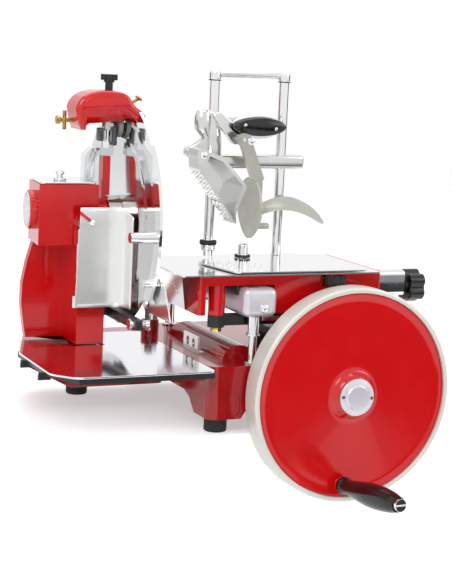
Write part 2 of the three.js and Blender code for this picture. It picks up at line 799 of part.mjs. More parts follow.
// The crank pin's line: distance 0 lies on the disc's face, and it grows towards the operator.
function handlePoint(distance) {
  const direction = new THREE.Vector3(pin.leanX, -1, pin.leanZ).normalize();
  const start = new THREE.Vector3(wheel.x + pin.x, wheelFront, wheel.z + pin.z);
  return start.addScaledVector(direction, distance).toArray();
}

function crankPin() {
  const end = pin.bossHeight + gap + grip.length + gap;
  const tip = handlePoint(end + gripScrew.height);
  const shank = roundBar(handlePoint(-web.thickness / 2), tip, pin.radius);
  const head = roundBar(handlePoint(end), tip, gripScrew.radius, facets.small);
  const [x, y, z] = tip;
  const half = gripScrew.slot / 2;
  const slot = box(
    x - gripScrew.radius,
    x + gripScrew.radius,
    y - over,
    y + gripScrew.slotDepth,
    z - half,
    z + half,
  );
  return cut(join(shank, head), slot);
}

// The grip is turned about the leaning pin: a flange, a thin neck, a full belly and a rounded end.
function crankGrip() {
  const bore = pin.radius + gap;
  const start = pin.bossHeight + gap;
  const stations = [
    [0, bore],
    [0, grip.flange],
    [gripShares.flange, grip.flange],
    [gripShares.neck, grip.neck],
    [gripShares.waist, (grip.neck + grip.belly) / 2],
    [gripShares.belly, grip.belly],
    [gripShares.fall, grip.belly * gripFullShares.fall],
    [gripShares.tip, grip.belly * gripFullShares.tip],
    [1, grip.tip],
    [1, bore],
    [0, bore],
  ];
  const profile = stations.map(([share, radius]) => new THREE.Vector2(radius, share * grip.length));
  const geometry = new THREE.LatheGeometry(profile, facets.round);
  const from = new THREE.Vector3(...handlePoint(start));
  const direction = new THREE.Vector3(...handlePoint(start + grip.length)).sub(from).normalize();
  const turn = new THREE.Quaternion().setFromUnitVectors(new THREE.Vector3(0, 1, 0), direction);
  return geometry.applyQuaternion(turn).translate(...from.toArray());
}

// Main shaft with the wheel that drives the crank and the bevel that drives the cross shaft.
function mainShaft() {
  const apex = cross.y;
  const far = apex - bevel.outer - bevel.apart;
  const near = apex - bevel.inner - bevel.apart;
  const front = wheelFront - web.hubHeight;
  const helicalWheel = toothedWheel(
    "y",
    wheel.x,
    wheel.z,
    [helical.wheel, helical.wheel],
    [crankY - helical.width / 2, crankY + helical.width / 2],
    helical.teeth,
    helical.tooth,
  );
  const bevelWheel = toothedWheel(
    "y",
    wheel.x,
    wheel.z,
    [bevel.outer, bevel.inner],
    [far, near],
    bevel.teeth,
    bevel.tooth,
  );
  const shaftBar = cylinder("y", wheel.x, wheel.z, shaft.radius, front, near - gap, facets.small);
  return join(shaftBar, helicalWheel, bevelWheel);
}

function crankShaft() {
  const gearTop = wheel.z + helical.width / 2;
  const gear = toothedWheel(
    "z",
    crank.x,
    crankY,
    [helical.crank, helical.crank],
    [gearTop - helical.width, gearTop],
    helical.crankTeeth,
    helical.tooth,
  );
  const pinY = crankY - stroke.radius;
  const armOutline = [
    [crank.x - crank.hub, crankY],
    [crank.x - crank.eye, pinY],
    [crank.x + crank.eye, pinY],
    [crank.x + crank.hub, crankY],
  ];
  return join(
    cylinder("z", crank.x, crankY, crank.shaft, crank.base, crank.armTop, facets.small),
    gear,
    cylinder("z", crank.x, crankY, crank.hub, crank.armBottom, crank.armTop, facets.small),
    cylinder("z", crank.x, pinY, crank.eye, crank.armBottom, crank.armTop, facets.small),
    prism("z", armOutline, crank.armBottom, crank.armTop),
    cylinder("z", crank.x, pinY, crank.pin, crank.armBottom, yoke.bottom - 2 * gap, facets.small),
  );
}

// Cross shaft and blade

function sprocket(z) {
  return toothedWheel(
    "x",
    cross.y,
    z,
    [chain.sprocket, chain.sprocket],
    [chain.x - chain.width / 2, chain.x + chain.width / 2],
    chain.teeth,
    bevel.tooth,
  );
}

function crossShaft() {
  const far = wheel.x - bevel.outer - bevel.apart;
  const near = wheel.x - bevel.inner - bevel.apart;
  const pinion = toothedWheel(
    "x",
    cross.y,
    wheel.z,
    [bevel.outer, bevel.inner],
    [far, near],
    bevel.teeth,
    bevel.tooth,
  );
  return join(
    cylinder("x", cross.y, wheel.z, cross.radius, cross.left, near - gap, facets.small),
    pinion,
    sprocket(wheel.z),
  );
}

// The chain is a closed band round both sprockets.
function driveChain() {
  const loop = (radius) => {
    const points = [];
    for (const [z, start] of [
      [bladeZ, 0],
      [wheel.z, Math.PI],
    ]) {
      for (let i = 0; i <= facets.tiny; i += 1) {
        const angle = start + (Math.PI * i) / facets.tiny;
        points.push([cross.y + radius * Math.cos(angle), z + radius * Math.sin(angle)]);
      }
    }
    return points;
  };
  const x0 = chain.x - chain.chainWidth / 2;
  const x1 = chain.x + chain.chainWidth / 2;
  const inner = chain.sprocket + gap;
  const band = prism("x", loop(inner + chain.thickness), x0, x1);
  return cut(band, prism("x", loop(inner), x0 - over, x1 + over));
}

function bladeDisc() {
  const left = blade.x - blade.dish + blade.edge;
  const bore = bladeHub.shaft + gap;
  const profile = [
    [bore, left],
    [blade.body, left],
    [blade.body + blade.dish, left + blade.dish / 2],
    [blade.radius - blade.bevel, blade.x - blade.edge],
    [blade.radius, blade.x + blade.edge],
    [blade.radius, blade.x + 2 * blade.edge],
    [blade.body, blade.x + 2 * blade.edge],
    [blade.body - blade.dish, blade.x],
    [bore, blade.x],
    [bore, left],
  ];
  return turned("x", blade.y, bladeZ, profile, facets.large);
}

function bladeShaft() {
  const end = blade.x + blade.edge;
  const face = blade.x - blade.dish + blade.edge - gap;
  return join(
    cylinder("x", blade.y, bladeZ, bladeHub.shaft, bladeHub.shaftLeft, end, facets.small),
    cylinder("x", blade.y, bladeZ, bladeHub.radius, bladeHub.left, face),
    sprocket(bladeZ),
  );
}

// Guard and slice thickness

function arcPoint(radius, degrees) {
  const angle = THREE.MathUtils.degToRad(degrees);
  return [blade.y - radius * Math.cos(angle), bladeZ + radius * Math.sin(angle)];
}

function bladeGuard() {
  const outline = [];
  const steps = facets.small;
  const sweep = guard.topAngle + guard.footAngle;
  for (let i = 0; i <= steps; i += 1) {
    outline.push(arcPoint(guardOuter, guard.topAngle - (sweep * i) / steps));
  }
  for (let i = steps; i >= 0; i -= 1) {
    outline.push(arcPoint(guardInner, guard.topAngle - (sweep * i) / steps));
  }
  const left = guard.x - guard.thickness;
  const crescent = prism("x", outline, left, guard.x);
  const [y, z] = arcPoint((guardInner + guardOuter) / 2, -stud.angle);
  const cone = [
    [0, left - stud.length],
    [stud.tip, left - stud.length],
    [stud.tip, left - stud.length + stud.end],
    [stud.radius, left - stud.end],
    [stud.radius, left + gap],
    [0, left + gap],
  ];
  const bolt = cylinder(
    "x",
    boltY,
    boltZ,
    guardBolt.radius,
    left - guardBolt.left,
    guardPlate.x - gap,
    facets.tiny,
  );
  return join(crescent, turned("x", y, z, cone, facets.small), bolt);
}

function lowerGuard() {
  const x0 = guardPlate.x;
  const x1 = guardPlate.x + guardPlate.thickness;
  const front = boltY - guardPlate.front;
  const back = front + guardPlate.wide;
  const top = boltZ + guardPlate.above;
  const bottom = boltZ - guardPlate.below;
  const tabFront = slidePinY - slidePin.tab;
  const tabBack = slidePinY + slidePin.tab;
  const outline = [
    [boltY - guardPlate.wide / 4, top],
    [front, bottom],
    [tabBack, bottom],
    [back, bottom + slidePin.head * 1.5],
    [back - slidePin.tab, bottom + slidePin.head * 3],
    [boltY + guardPlate.wide / 4, top],
  ];
  const tab = [
    [tabFront, bottom + over],
    [tabFront, slidePinZ - slidePin.tab],
    [tabBack, slidePinZ - slidePin.tab],
    [tabBack, bottom + over],
  ];
  const end = x0 - slidePin.length;
  return join(
    prism("x", outline, x0, x1),
    prism("x", tab, x0, x1, slidePin.tab / 2),
    cylinder("x", slidePinY, slidePinZ, slidePin.radius, end, x0 + gap, facets.small),
    cylinder("x", slidePinY, slidePinZ, slidePin.head, end - slidePin.headThickness, end, facets.small),
    cylinder("x", boltY, boltZ, guardBolt.radius, x0 + gap, x1 + guardBolt.right, facets.tiny),
  );
}

function guardArm() {
  const rear = blade.y + arm.width / 2;
  const bottom = slidePinZ - arm.half;
  const top = slidePinZ + arm.half;
  const bar = box(arm.left, arm.right, slidePinY - arm.ahead, rear, bottom, top);
  const foot = box(column.right + gap, arm.right, rear - arm.width, rear, bottom, top);
  const bore = [slidePinY, slidePinZ, slidePin.radius + gap];
  return cut(join(bar, foot), cylinder("x", ...bore, arm.left - over, arm.right + over, facets.small));
}

// Pedestal

// The box's left wall at a place along Y.
function towerLeftAt(y) {
  return tower.left + (tower.taper * (y - tower.front)) / (tower.back - tower.front);
}

// The box seen from above, set in all round.
function towerOutline(inset, right = tower.right - inset) {
  const front = tower.front + inset;
  const back = tower.back - inset;
  return [
    [towerLeftAt(front) + inset, front],
    [right, front],
    [right, back],
    [towerLeftAt(back) + inset, back],
  ];
}

// Below the box a column stands on the ledge, with a bulging panel beside it along the back.
function columnShape() {
  const outline = [
    [column.left, base.top + gap],
    [column.right, base.top + gap],
    [column.right, towerUnder],
    [tower.right, towerFloor],
    [column.left, towerFloor],
  ];
  return prism("y", outline, tower.front, tower.back);
}

function rearPanelShape() {
  const height = towerUnder - base.top - gap;
  const bulge = bulgeShares.map(([u, v]) => [
    rearPanel.left + u * (rearPanel.bulge - rearPanel.left),
    base.top + gap + v * height,
  ]);
  const outline = [
    ...bulge,
    [rearPanel.left, towerUnder + over],
    [column.left + over, towerUnder + over],
    [column.left + over, base.top + gap],
  ];
  return prism("y", outline, tower.back - rearPanel.thickness, tower.back);
}

// Turns a shape made along X about the dial's place so that it stands square on the leaning wall.
function ontoDialSeat(geometry) {
  const lean = Math.atan2(tower.taper, tower.back - tower.front);
  return geometry.rotateZ(-lean).translate(towerLeftAt(dial.y), dial.y, dialZ);
}

function housingCasting() {
  const wall = column.wall;
  const slotBack = 2 * cross.y - column.slotFront;
  const dialBore = cylinder("x", 0, 0, dial.spindle + gap, -over, wall * 2, facets.small);
  const body = join(
    prism("z", towerOutline(0), towerUnder, towerTop),
    columnShape(),
    rearPanelShape(),
    cylinder("x", blade.y, bladeZ, bladeBoss.radius, tower.right - over, bladeBoss.right),
    box(
      post.left,
      post.right,
      blade.y - post.half,
      blade.y + post.half,
      bladeZ + bladeHub.shaft * 2,
      towerTop + post.above,
    ),
  );
  return cut(
    body,
    prism("z", towerOutline(wall, column.slotRight), towerFloor, towerTop + over),
    box(
      column.slotLeft,
      column.slotRight,
      column.slotFront,
      slotBack,
      base.top - over,
      towerFloor + over,
    ),
    cylinder("x", blade.y, bladeZ, bladeHub.shaft + gap, bladeHub.shaftLeft - over, bladeBoss.right + over),
    ontoDialSeat(dialBore),
    cylinder("x", blade.y, bladeZ, bladeHub.radius + over, bladeHub.left - gap, post.right + over),
  );
}

function capPlate() {
  const seat = towerTop + gap;
  return prism("z", towerOutline(plate.inset), seat, seat + plate.thickness, plate.corner);
}

function oilCap() {
  const seat = towerTop + gap + plate.thickness + gap;
  const top = seat + oil.height;
  const profile = [
    [0, seat],
    [oil.base, seat],
    [oil.base, seat + oil.baseHeight],
    [oil.waist, seat + oil.baseHeight],
    [oil.waist, top - oil.knob],
    [oil.knob, top - oil.waist],
    [oil.knob, top - oil.waist / 3],
    [oil.waist, top],
    [0, top],
  ];
  return turned("z", oil.x, oil.y, profile, facets.small);
}

function thicknessDial() {
  const right = -gap;
  const left = right - dial.drum;
  const profile = [
    [0, left - dial.faceDepth],
    [dial.face, left - dial.faceDepth],
    [dial.face, left],
    [dial.radius, left],
    [dial.radius, right - dial.drum / 3],
    [dial.face, right - dial.drum / 4],
    [dial.face, right],
    [dial.spindle, right],
    [dial.spindle, right + dial.reach],
    [0, right + dial.reach],
  ];
  return ontoDialSeat(turned("x", 0, 0, profile, facets.round));
}

// Deflector

function deflectorLine(offset) {
  const { flatEnd, flatY, rightX, rightY, tipX } = deflectorPath;
  const curve = new THREE.CubicBezierCurve(
    new THREE.Vector2(flatEnd, flatY - offset),
    new THREE.Vector2(rightX - deflector.thickness * 4, flatY - offset),
    new THREE.Vector2(rightX - offset, flatY + rightY / 2),
    new THREE.Vector2(tipX - offset, rightY),
  );
  const points = curve.getPoints(facets.tiny).map((p) => [p.x, p.y]);
  return [[deflector.flange, flatY - offset], ...points];
}

function deflectorSheet() {
  const { flatY } = deflectorPath;
  const plan = [...deflectorLine(deflector.thickness), ...deflectorLine(0).reverse()];
  const sheet = prism("z", plan, deflector.bottom, deflectorTop);
  const notchLow = deflectorTop - latch.drop - latch.length;
  const notch = fromShares(
    notchShares,
    deflector.left,
    deflector.left + latch.length,
    notchLow,
    deflectorTop,
  );
  const face = [
    [deflector.flange - over, deflector.bottom - over],
    [deflector.flange - over, deflector.flangeTop],
    [deflector.left, deflector.flangeTop + deflector.thickness],
    ...notch,
    [deflector.left, deflectorTop + over],
    [deflectorPath.rightX - latch.length, deflectorTop + over],
    [deflectorPath.rightX - latch.drop, deflectorTop - latch.length],
    [deflectorPath.tipX + over, deflector.bottom + latch.length * 2],
    [deflectorPath.tipX + over, deflector.bottom - over],
  ];
  const trimmed = solid(sheet).intersect(
    solid(prism("y", face, deflectorPath.rightY - over, flatY + over)),
  );
  const lowEnd = hingePin.lower + hingePin.lug + gap;
  const highEnd = upperLug - gap;
  const knuckle = cylinder("z", hingePin.x, hingePin.y, hingePin.knuckle, lowEnd, highEnd, facets.small);
  const strap = box(
    hingePin.x,
    deflector.left + over,
    flatY - deflector.thickness,
    flatY,
    lowEnd,
    notchLow - over,
  );
  const bore = cylinder(
    "z",
    hingePin.x,
    hingePin.y,
    hingePin.radius + gap,
    lowEnd - over,
    highEnd + over,
    facets.small,
  );
  return cut(join(trimmed, knuckle, strap), bore);
}

function deflectorPin() {
  const lug = (bottom) =>
    box(
      hingePin.x - hingePin.knuckle,
      hingePin.x + hingePin.knuckle,
      hingePin.y - hingePin.knuckle / 2,
      tower.front - gap,
      bottom,
      bottom + hingePin.lug,
    );
  return join(
    cylinder(
      "z",
      hingePin.x,
      hingePin.y,
      hingePin.radius,
      hingePin.lower - hingePin.ends,
      upperLug + hingePin.lug + hingePin.ends,
      facets.small,
    ),
    lug(hingePin.lower),
    lug(upperLug),
  );
}

// Tray

function trayOutline() {
  const depth = tray.back - tray.front;
  return trayShares.map(([u, v]) => [
    baseLeft - gap + u * (trayLeft - baseLeft),
    tray.front + v * depth,
  ]);
}

function trayPlate() {
  const bottom = ledge.top + gap;
  const sheet = prism("z", trayOutline(), bottom, bottom + tray.thickness, tray.corner);
  const notch = box(
    rearPanel.bulge - trayCut.side,
    column.right + trayCut.side,
    tower.front - trayCut.front,
    tray.back + over,
    bottom - over,
    bottom + tray.thickness + over,
  );
  return cut(sheet, notch);
}

function trayFrame() {
  const top = ledge.top;
  const low = top - frame.height;
  const front = tray.front + frame.inset;
  const left = trayLeft + frame.inset;
  const slantLeft = left + frame.slant;
  const right = baseLeft - gap;
  const lug = (y) =>
    box(
      left - trayLug.drop,
      left + frame.width,
      y - trayLug.width / 2,
      y + trayLug.width / 2,
      low - trayLug.drop,
      low + gap,
    );
  const slope = [
    [slantLeft, front],
    [slantLeft + frame.width, front],
    [left + frame.width, trayLug.front - trayLug.width],
    [left, trayLug.front - trayLug.width],
  ];
  return join(
    box(slantLeft, right, front, front + frame.width, low, top),
    prism("z", slope, low, top),
    box(left, left + frame.width, trayLug.front - trayLug.width - over, ledge.front - gap, low, top),
    box(left, ledgeLeft + frame.width, ledge.front - frame.width, ledge.front - gap, low, top),
    box(right - frame.width, right, front, ledge.front - gap, low, top),
    box(left, right, ledge.front - frame.width, ledge.front - gap, low, top),
    lug(trayLug.front),
    lug(trayLug.rear),
  );
}

// Sharpener

function sharpenerStand() {
  const seat = towerTop + 2 * gap + plate.thickness;
  const y0 = blade.y - elbow.half;
  const y1 = blade.y + elbow.half;
  const outline = [
    [elbow.left, seat],
    [elbow.right, seat],
    [elbow.right, elbowTop - elbow.bend],
    [elbow.right + elbow.thickness / 2, elbowTop - elbow.thickness],
    [elbow.reach, elbowTop - elbow.thickness],
    [elbow.reach, elbowTop],
    [elbow.left + elbow.thickness, elbowTop],
    [elbow.left, elbowTop - elbow.thickness],
  ];
  return join(
    prism("y", outline, y0, y1),
    cylinder("z", spindle.x, spindle.y, spindle.radius, elbowTop - over, spindleTop, facets.small),
    cylinder(
      "z",
      spindle.x,
      spindle.y,
      spindle.collar,
      elbowTop - gap,
      elbowTop + spindle.collarHeight,
      facets.small,
    ),
  );
}

function coverShape() {
  const wall = cover.wall;
  const outer = fromShares(coverShares, cover.left, cover.right, coverBottom, coverTop);
  const inner = fromShares(hollowShares, cover.left, cover.right, coverBottom, coverTop);
  const plungerBore = cylinder(
    "x",
    blade.y,
    plungerZ,
    plunger.radius + gap,
    cover.left - over,
    cover.left + plunger.length,
    facets.tiny,
  );
  return cut(
    prism("y", outer, cover.front, cover.back, wall),
    prism("y", inner, cover.front + wall, cover.back - wall),
    box(
      blade.x - bladeSlot.left,
      blade.x + bladeSlot.right,
      cover.front - over,
      cover.back + over,
      coverBottom - over,
      bladeTop + bladeSlot.over,
    ),
    cylinder("z", spindle.x, spindle.y, spindle.radius + gap, coverBottom, coverTop + over, facets.small),
    plungerBore,
  );
}

// The carrier's hook passes over the blade's top and down beside its right face.
function hookShape() {
  const inner = rightStone + stone.thickness + gap;
  const outer = inner + hook.thickness;
  const low = stoneZ - stone.spindle * 1.5;
  const rise = hookTop - low;
  const outline = [
    ...fromShares(hookShares, spindle.x, outer, low, hookTop),
    [outer, low],
    [inner, low],
    [inner, low + hookUnderShares.leg * rise],
    [spindle.x + hookUnderShares.corner * (outer - spindle.x), low + hookUnderShares.root * rise],
  ];
  return prism("y", outline, hook.y - hook.width / 2, rearStoneY + stone.spindle);
}

// A sleeve on the spindle carries one stone beside the blade and, over its top, the other.
function sharpenerCarrier() {
  const sleeveBottom = elbowTop + spindle.collarHeight + stone.radius;
  const armHalf = stone.spindle * 1.5;
  const leftEnd = leftStone + stone.thickness + gap;
  const hookInner = rightStone + stone.thickness + gap;
  const carrier = join(
    cylinder("z", spindle.x, spindle.y, spindle.collar, sleeveBottom, hookTop, facets.small),
    box(
      spindle.x - spindle.collar + stone.spindle,
      spindle.x + spindle.radius,
      stone.y - armHalf,
      spindle.y,
      stoneZ - armHalf,
      stoneZ + armHalf,
    ),
    cylinder("x", stone.y, stoneZ, stone.spindle, spindle.x, leftEnd, facets.tiny),
    hookShape(),
    cylinder("x", rearStoneY, stoneZ, stone.spindle, rightStone, hookInner + over, facets.tiny),
  );
  return cut(
    carrier,
    cylinder("z", spindle.x, spindle.y, spindle.radius + gap, elbowTop, coverTop + over, facets.small),
  );
}

function stoneWheel(y, from) {
  const bore = stone.spindle + gap;
  const to = from + stone.thickness;
  const profile = [
    [bore, from],
    [stone.radius, from],
    [stone.radius, to],
    [bore, to],
    [bore, from],
  ];
  return turned("x", y, stoneZ, profile, facets.small);
}

function clampKnobShape() {
  const seat = coverTop + gap;
  const headBottom = coverTop + clampKnob.neck;
  const profile = [
    [0, spindleTop + gap],
    [spindle.radius, spindleTop + gap],
    [spindle.radius, seat],
    [clampKnob.flange, seat],
    [clampKnob.flange, seat + clampKnob.rim],
    [clampKnob.stem, seat + clampKnob.rim],
    [clampKnob.stem, headBottom - clampKnob.rim],
    [clampKnob.flange, headBottom - clampKnob.rim],
    [clampKnob.flange, headBottom + gap],
    [0, headBottom + gap],
  ];
  const head = toothedWheel(
    "z",
    spindle.x,
    spindle.y,
    [clampKnob.radius, clampKnob.radius],
    [headBottom, headBottom + clampKnob.height],
    clampFlutes.count,
    clampFlutes.depth,
  );
  return join(turned("z", spindle.x, spindle.y, profile, facets.small), head);
}

function plungerShape() {
  const left = cover.left - plunger.length / 2 - plunger.headLength;
  const barX = cover.left - plungerBar.at;
  return join(
    cylinder("x", blade.y, plungerZ, plunger.radius, left, cover.left + plunger.length / 2, facets.tiny),
    cylinder("x", blade.y, plungerZ, plunger.head, left, left + plunger.headLength, facets.tiny),
    cylinder(
      "z",
      barX,
      blade.y,
      plungerBar.radius,
      plungerZ - plungerBar.length / 2,
      plungerZ + plungerBar.length / 2,
      facets.tiny,
    ),
  );
}

// Guides

function frontPost() {
  const seat = base.top + gap;
  const collarTop = base.top + postCollar.at + postCollar.thickness;
  const profile = [
    [0, seat],
    [postCollar.flange, seat],
    [postCollar.flange, seat + postCollar.thickness],
    [guidePost.low, seat + postCollar.thickness],
    [guidePost.low, base.top + postCollar.at],
    [postCollar.radius, base.top + postCollar.at],
    [postCollar.radius, collarTop],
    [guidePost.radius, collarTop],
    [guidePost.radius, guideHead.bottom - gap],
    [0, guideHead.bottom - gap],
  ];
  return turned("z", guidePost.x, guidePostY, profile, facets.small);
}

function guideBar() {
  const headBack = guideFront + guideRun.headDepth;
  const head = [
    [guide.left, guideHead.bottom],
    [guideHead.right, guideHead.bottom],
    [guideHead.right, guideHead.top],
    [guide.left, guideHead.top],
  ];
  const plan = [
    [guide.left, guideFront],
    [guideHead.right, guideFront],
    [guideHead.right, headBack],
    [guide.left, headBack],
  ];
  const headBody = solid(prism("y", head, guideFront, headBack, guideRun.corner)).intersect(
    solid(prism("z", plan, guideHead.bottom, guideHead.top, guideRun.corner)),
  );
  const run = box(guide.left, guide.right, headBack - guideRun.corner, guideBack, guide.bottom, guide.top);
  const slot = box(
    guide.left + guideRun.slot,
    guide.right,
    guidePostY - guideRun.slotDepth / 2,
    guidePostY + guideRun.slotDepth / 2,
    guideHead.top - guideRun.slotDepth,
    guideHead.top + over,
  );
  return cut(join(headBody, run), slot);
}

function backPost() {
  return join(
    cylinder("z", rearPost.x, rearPostY, rearPost.radius, base.top + gap, guide.bottom - gap, facets.small),
    cylinder(
      "z",
      rearPost.x,
      rearPostY,
      postCollar.flange,
      base.top + gap,
      base.top + gap + postCollar.thickness,
      facets.small,
    ),
  );
}

function sideRail() {
  const x = (railLeft + railRight) / 2;
  const end = baseBack - rail.insetEnd;
  const postY = baseBack - rail.postInset;
  const posts = [-1, 1].map((side) =>
    cylinder("z", x, side * postY, rail.postRadius, base.top + gap, rail.bottom + over, facets.tiny),
  );
  return join(box(railLeft, railRight, -end, end, rail.bottom, rail.top), ...posts);
}

// Carriage

function carriageCasting() {
  const { left, right, front, back, bottom, top, wall } = carriage;
  const roofUnder = top - carriageRoof.thickness;
  const guideX = (guide.left + guide.right) / 2;
  const outline = [
    [left, front],
    [right, front],
    [right, back],
    [left, back],
  ];
  const shell = cut(
    prism("z", outline, bottom, top, wall / 2),
    box(left + wall, right - wall, front + wall, back - wall, bottom - over, roofUnder),
  );
  const bossBottom = yoke.top + gap;
  const ribs = join(
    box(
      guideX - carriageRoof.padHalf,
      guideX + carriageRoof.padHalf,
      guideFront + guideRun.headDepth + over * 2,
      back - wall,
      guide.top + gap,
      roofUnder + over,
    ),
    box(railLeft, right - wall / 2, front + wall / 2, back - wall / 2, rail.top + gap, roofUnder + over),
    cylinder("z", yoke.bossX, yoke.y, yoke.boss, bossBottom, roofUnder + over, facets.small),
    cylinder("z", yoke.right - yoke.half, yoke.y, yoke.half, bossBottom, roofUnder + over, facets.small),
    box(
      thumb.x - thumbLug.half,
      thumb.x + thumbLug.half,
      front - thumbLug.proud,
      front + wall,
      top - thumbLug.thickness,
      top,
    ),
  );
  const screwClear = screw.radius + gap;
  const keelLeft = feedNut.x - feedNut.half - feed.travel - over;
  return cut(
    join(shell, ribs),
    box(
      left + wall + over,
      carriageRoof.mouthRight,
      front - over,
      front + wall,
      bottom - over,
      carriageRoof.mouth,
    ),
    box(
      guideX - carriageRoof.rearHalf,
      guideX + carriageRoof.rearHalf,
      back - wall,
      back + over,
      bottom - over,
      carriageRoof.mouth,
    ),
    box(
      keelLeft,
      feedNut.x + feedNut.half + over,
      screw.y - nutRoom,
      screw.y + nutRoom,
      bottom - over,
      top + over,
    ),
    box(
      thumb.x - thumb.radius - thumbRoom.around,
      thumb.x + thumb.radius + thumbRoom.around,
      front - thumbLug.proud - over,
      thumb.y + thumb.radius + thumbRoom.around / 2,
      thumb.bottom - thumbRoom.around,
      thumb.top + thumbRoom.above,
    ),
    cylinder("x", screw.y, screw.z, screwClear, screw.left, right + over, facets.small),
  );
}

// The apron slopes inwards from the table's left edge to the casting's lower edge.
function apronShape() {
  const low = carriage.bottom + apron.out;
  const high = carriage.top + gap;
  const xTop = table.left;
  const xLow = carriage.left - apron.thickness - gap;
  const ring = (shift) => [
    [xTop + shift, apron.topFront, high + gap],
    [xLow + shift, apron.lowFront, low],
    [xLow + shift, table.back, low],
    [xTop + shift, table.back, high + gap],
  ];
  const sheet = loft([ring(0), ring(apron.thickness)]);
  const slot = [];
  const slotZ = low + (high - low) * apronSlotShare;
  for (let i = 0; i < facets.tiny; i += 1) {
    const angle = (2 * Math.PI * i) / facets.tiny;
    slot.push([
      apronSlot.y + apronSlot.half * Math.cos(angle),
      slotZ + apronSlot.halfHeight * Math.sin(angle),
    ]);
  }
  return cut(sheet, prism("x", slot, table.left - over, carriage.left));
}

function meatTable() {
  const { left, right, front, back } = table;
  const outline = [
    [left, front],
    [right, front],
    [right, back],
    [left, back],
  ];
  const keelLeft = feedNut.x - feedNut.half - feed.travel - over;
  const bottom = carriage.top + gap;
  const slot = box(
    keelLeft,
    feedNut.x + feedNut.half + over,
    screw.y - nutRoom,
    screw.y + nutRoom,
    bottom - over,
    tableTop + over,
  );
  return join(cut(prism("z", outline, bottom, tableTop, table.corner), slot), apronShape());
}

// The crank's pin drives this bar from below; its groove runs across the crank's whole throw.
function yokeBar() {
  const groove = box(
    crank.x - stroke.radius - yokeSlot.reach,
    crank.x + stroke.radius + yokeSlot.reach,
    yoke.y - yokeSlot.half,
    yoke.y + yokeSlot.half,
    yoke.bottom - over,
    yoke.bottom + yokeSlot.depth,
  );
  const run = box(yoke.bossX, yoke.right, yoke.y - yoke.half, yoke.y + yoke.half, yoke.bottom, yoke.top);
  const end = cylinder(
    "z",
    yoke.bossX,
    yoke.y,
    yoke.boss,
    yoke.bottom - yoke.under,
    yoke.top,
    facets.small,
  );
  return join(cut(run, groove), end);
}

function screwBearing() {
  const x0 = carriage.right + gap;
  const outline = [
    [screw.y - block.half, block.bottom],
    [screw.y + block.half, block.bottom],
    [screw.y + block.half, block.top],
    [screw.y - block.half, block.top],
  ];
  const body = prism("x", outline, x0, x0 + block.length, block.corner);
  const bore = cylinder(
    "x",
    screw.y,
    screw.z,
    screw.radius + gap,
    x0 - over,
    x0 + block.length + over,
    facets.small,
  );
  return cut(body, bore);
}

function feedScrew() {
  const left = screw.left + screw.short;
  const right = carriage.right + gap + block.length + starKnob.neckLength;
  return cylinder("x", screw.y, screw.z, screw.radius, left, right, facets.small);
}

function starKnobShape() {
  const left = carriage.right + gap + block.length + gap;
  const outline = [];
  const steps = starKnob.lobes * facets.tiny;
  for (let i = 0; i < steps; i += 1) {
    const angle = (2 * Math.PI * i) / steps;
    const wave = (1 - Math.cos(starKnob.lobes * angle)) / 2;
    const radius = starKnob.radius - starKnob.depth * wave * wave;
    outline.push([screw.y + radius * Math.cos(angle), screw.z + radius * Math.sin(angle)]);
  }
  const bodyLeft = left + starKnob.neckLength;
  return cut(
    join(
      prism("x", outline, bodyLeft, left + starKnob.length),
      cylinder("x", screw.y, screw.z, starKnob.neck, left, bodyLeft + gap, facets.small),
    ),
    cylinder("x", screw.y, screw.z, screw.radius + gap, left - over, bodyLeft + gap, facets.small),
  );
}

function thumbWheel() {
  const wheelBody = toothedWheel(
    "z",
    thumb.x,
    thumb.y,
    [thumb.radius, thumb.radius],
    [thumb.bottom, thumb.top],
    thumb.ribs,
    thumb.rib,
  );
  const stem = cylinder(
    "z",
    thumb.x,
    thumb.y,
    thumb.spindle,
    thumb.bottom,
    carriage.top - thumbLug.thickness - gap,
    facets.tiny,
  );
  return join(wheelBody, stem);
}

// Feed plate

function spikes() {
  const cones = [];
  for (let row = 0; row < spike.rows; row += 1) {
    for (let i = 0; i < spike.each; i += 1) {
      const y = feedOutline.front + spikePlace.inY + i * spikePlace.pitchY;
      const shift = (i * spikePlace.slant) / spike.each;
      const x = feedOutline.left + spikePlace.inX + row * spikePlace.pitchX - shift;
      const root = [x, y, feedTop - gap];
      const point = [x, y, feedTop + spike.height];
      cones.push(roundBar(root, point, spike.radius, facets.spike, gap));
    }
  }
  return cones;
}

function feedPlate() {
  const { left, right, front, back } = feedOutline;
  const outline = fromShares(feedShares, left, right, front, back);
  const sheet = prism("z", outline, feedBottom, feedTop, feed.corner);
  return join(sheet, ...spikes());
}

// The nut hangs under the feed plate and straddles the screw from above.
function feedNutShape() {
  const x0 = feedNut.x - feedNut.half;
  const x1 = feedNut.x + feedNut.half;
  const clear = screw.radius + gap;
  const bottom = screw.z - clear - feedNut.under;
  const half = feedNut.width / 2;
  const body = box(x0, x1, screw.y - half, screw.y + half, bottom, feedBottom - gap);
  const slot = box(x0 - over, x1 + over, screw.y - clear, screw.y + clear, bottom - over, screw.z + clear);
  return cut(body, slot);
}

function feedPost(x) {
  return cylinder("z", x, rod.y, rod.radius, feedTop + gap, rod.top, facets.small);
}

function topBarShape() {
  const seat = rod.top + gap;
  const ends = [rod.leftX, rod.rightX].map((x) =>
    cylinder("z", x, rod.y, topBar.half, seat, seat + topBar.height, facets.small),
  );
  const run = box(
    rod.leftX,
    rod.rightX,
    rod.y - topBar.mid,
    rod.y + topBar.mid,
    seat + (topBar.height - topBar.midHeight) / 2,
    seat + (topBar.height + topBar.midHeight) / 2,
  );
  return join(run, ...ends);
}

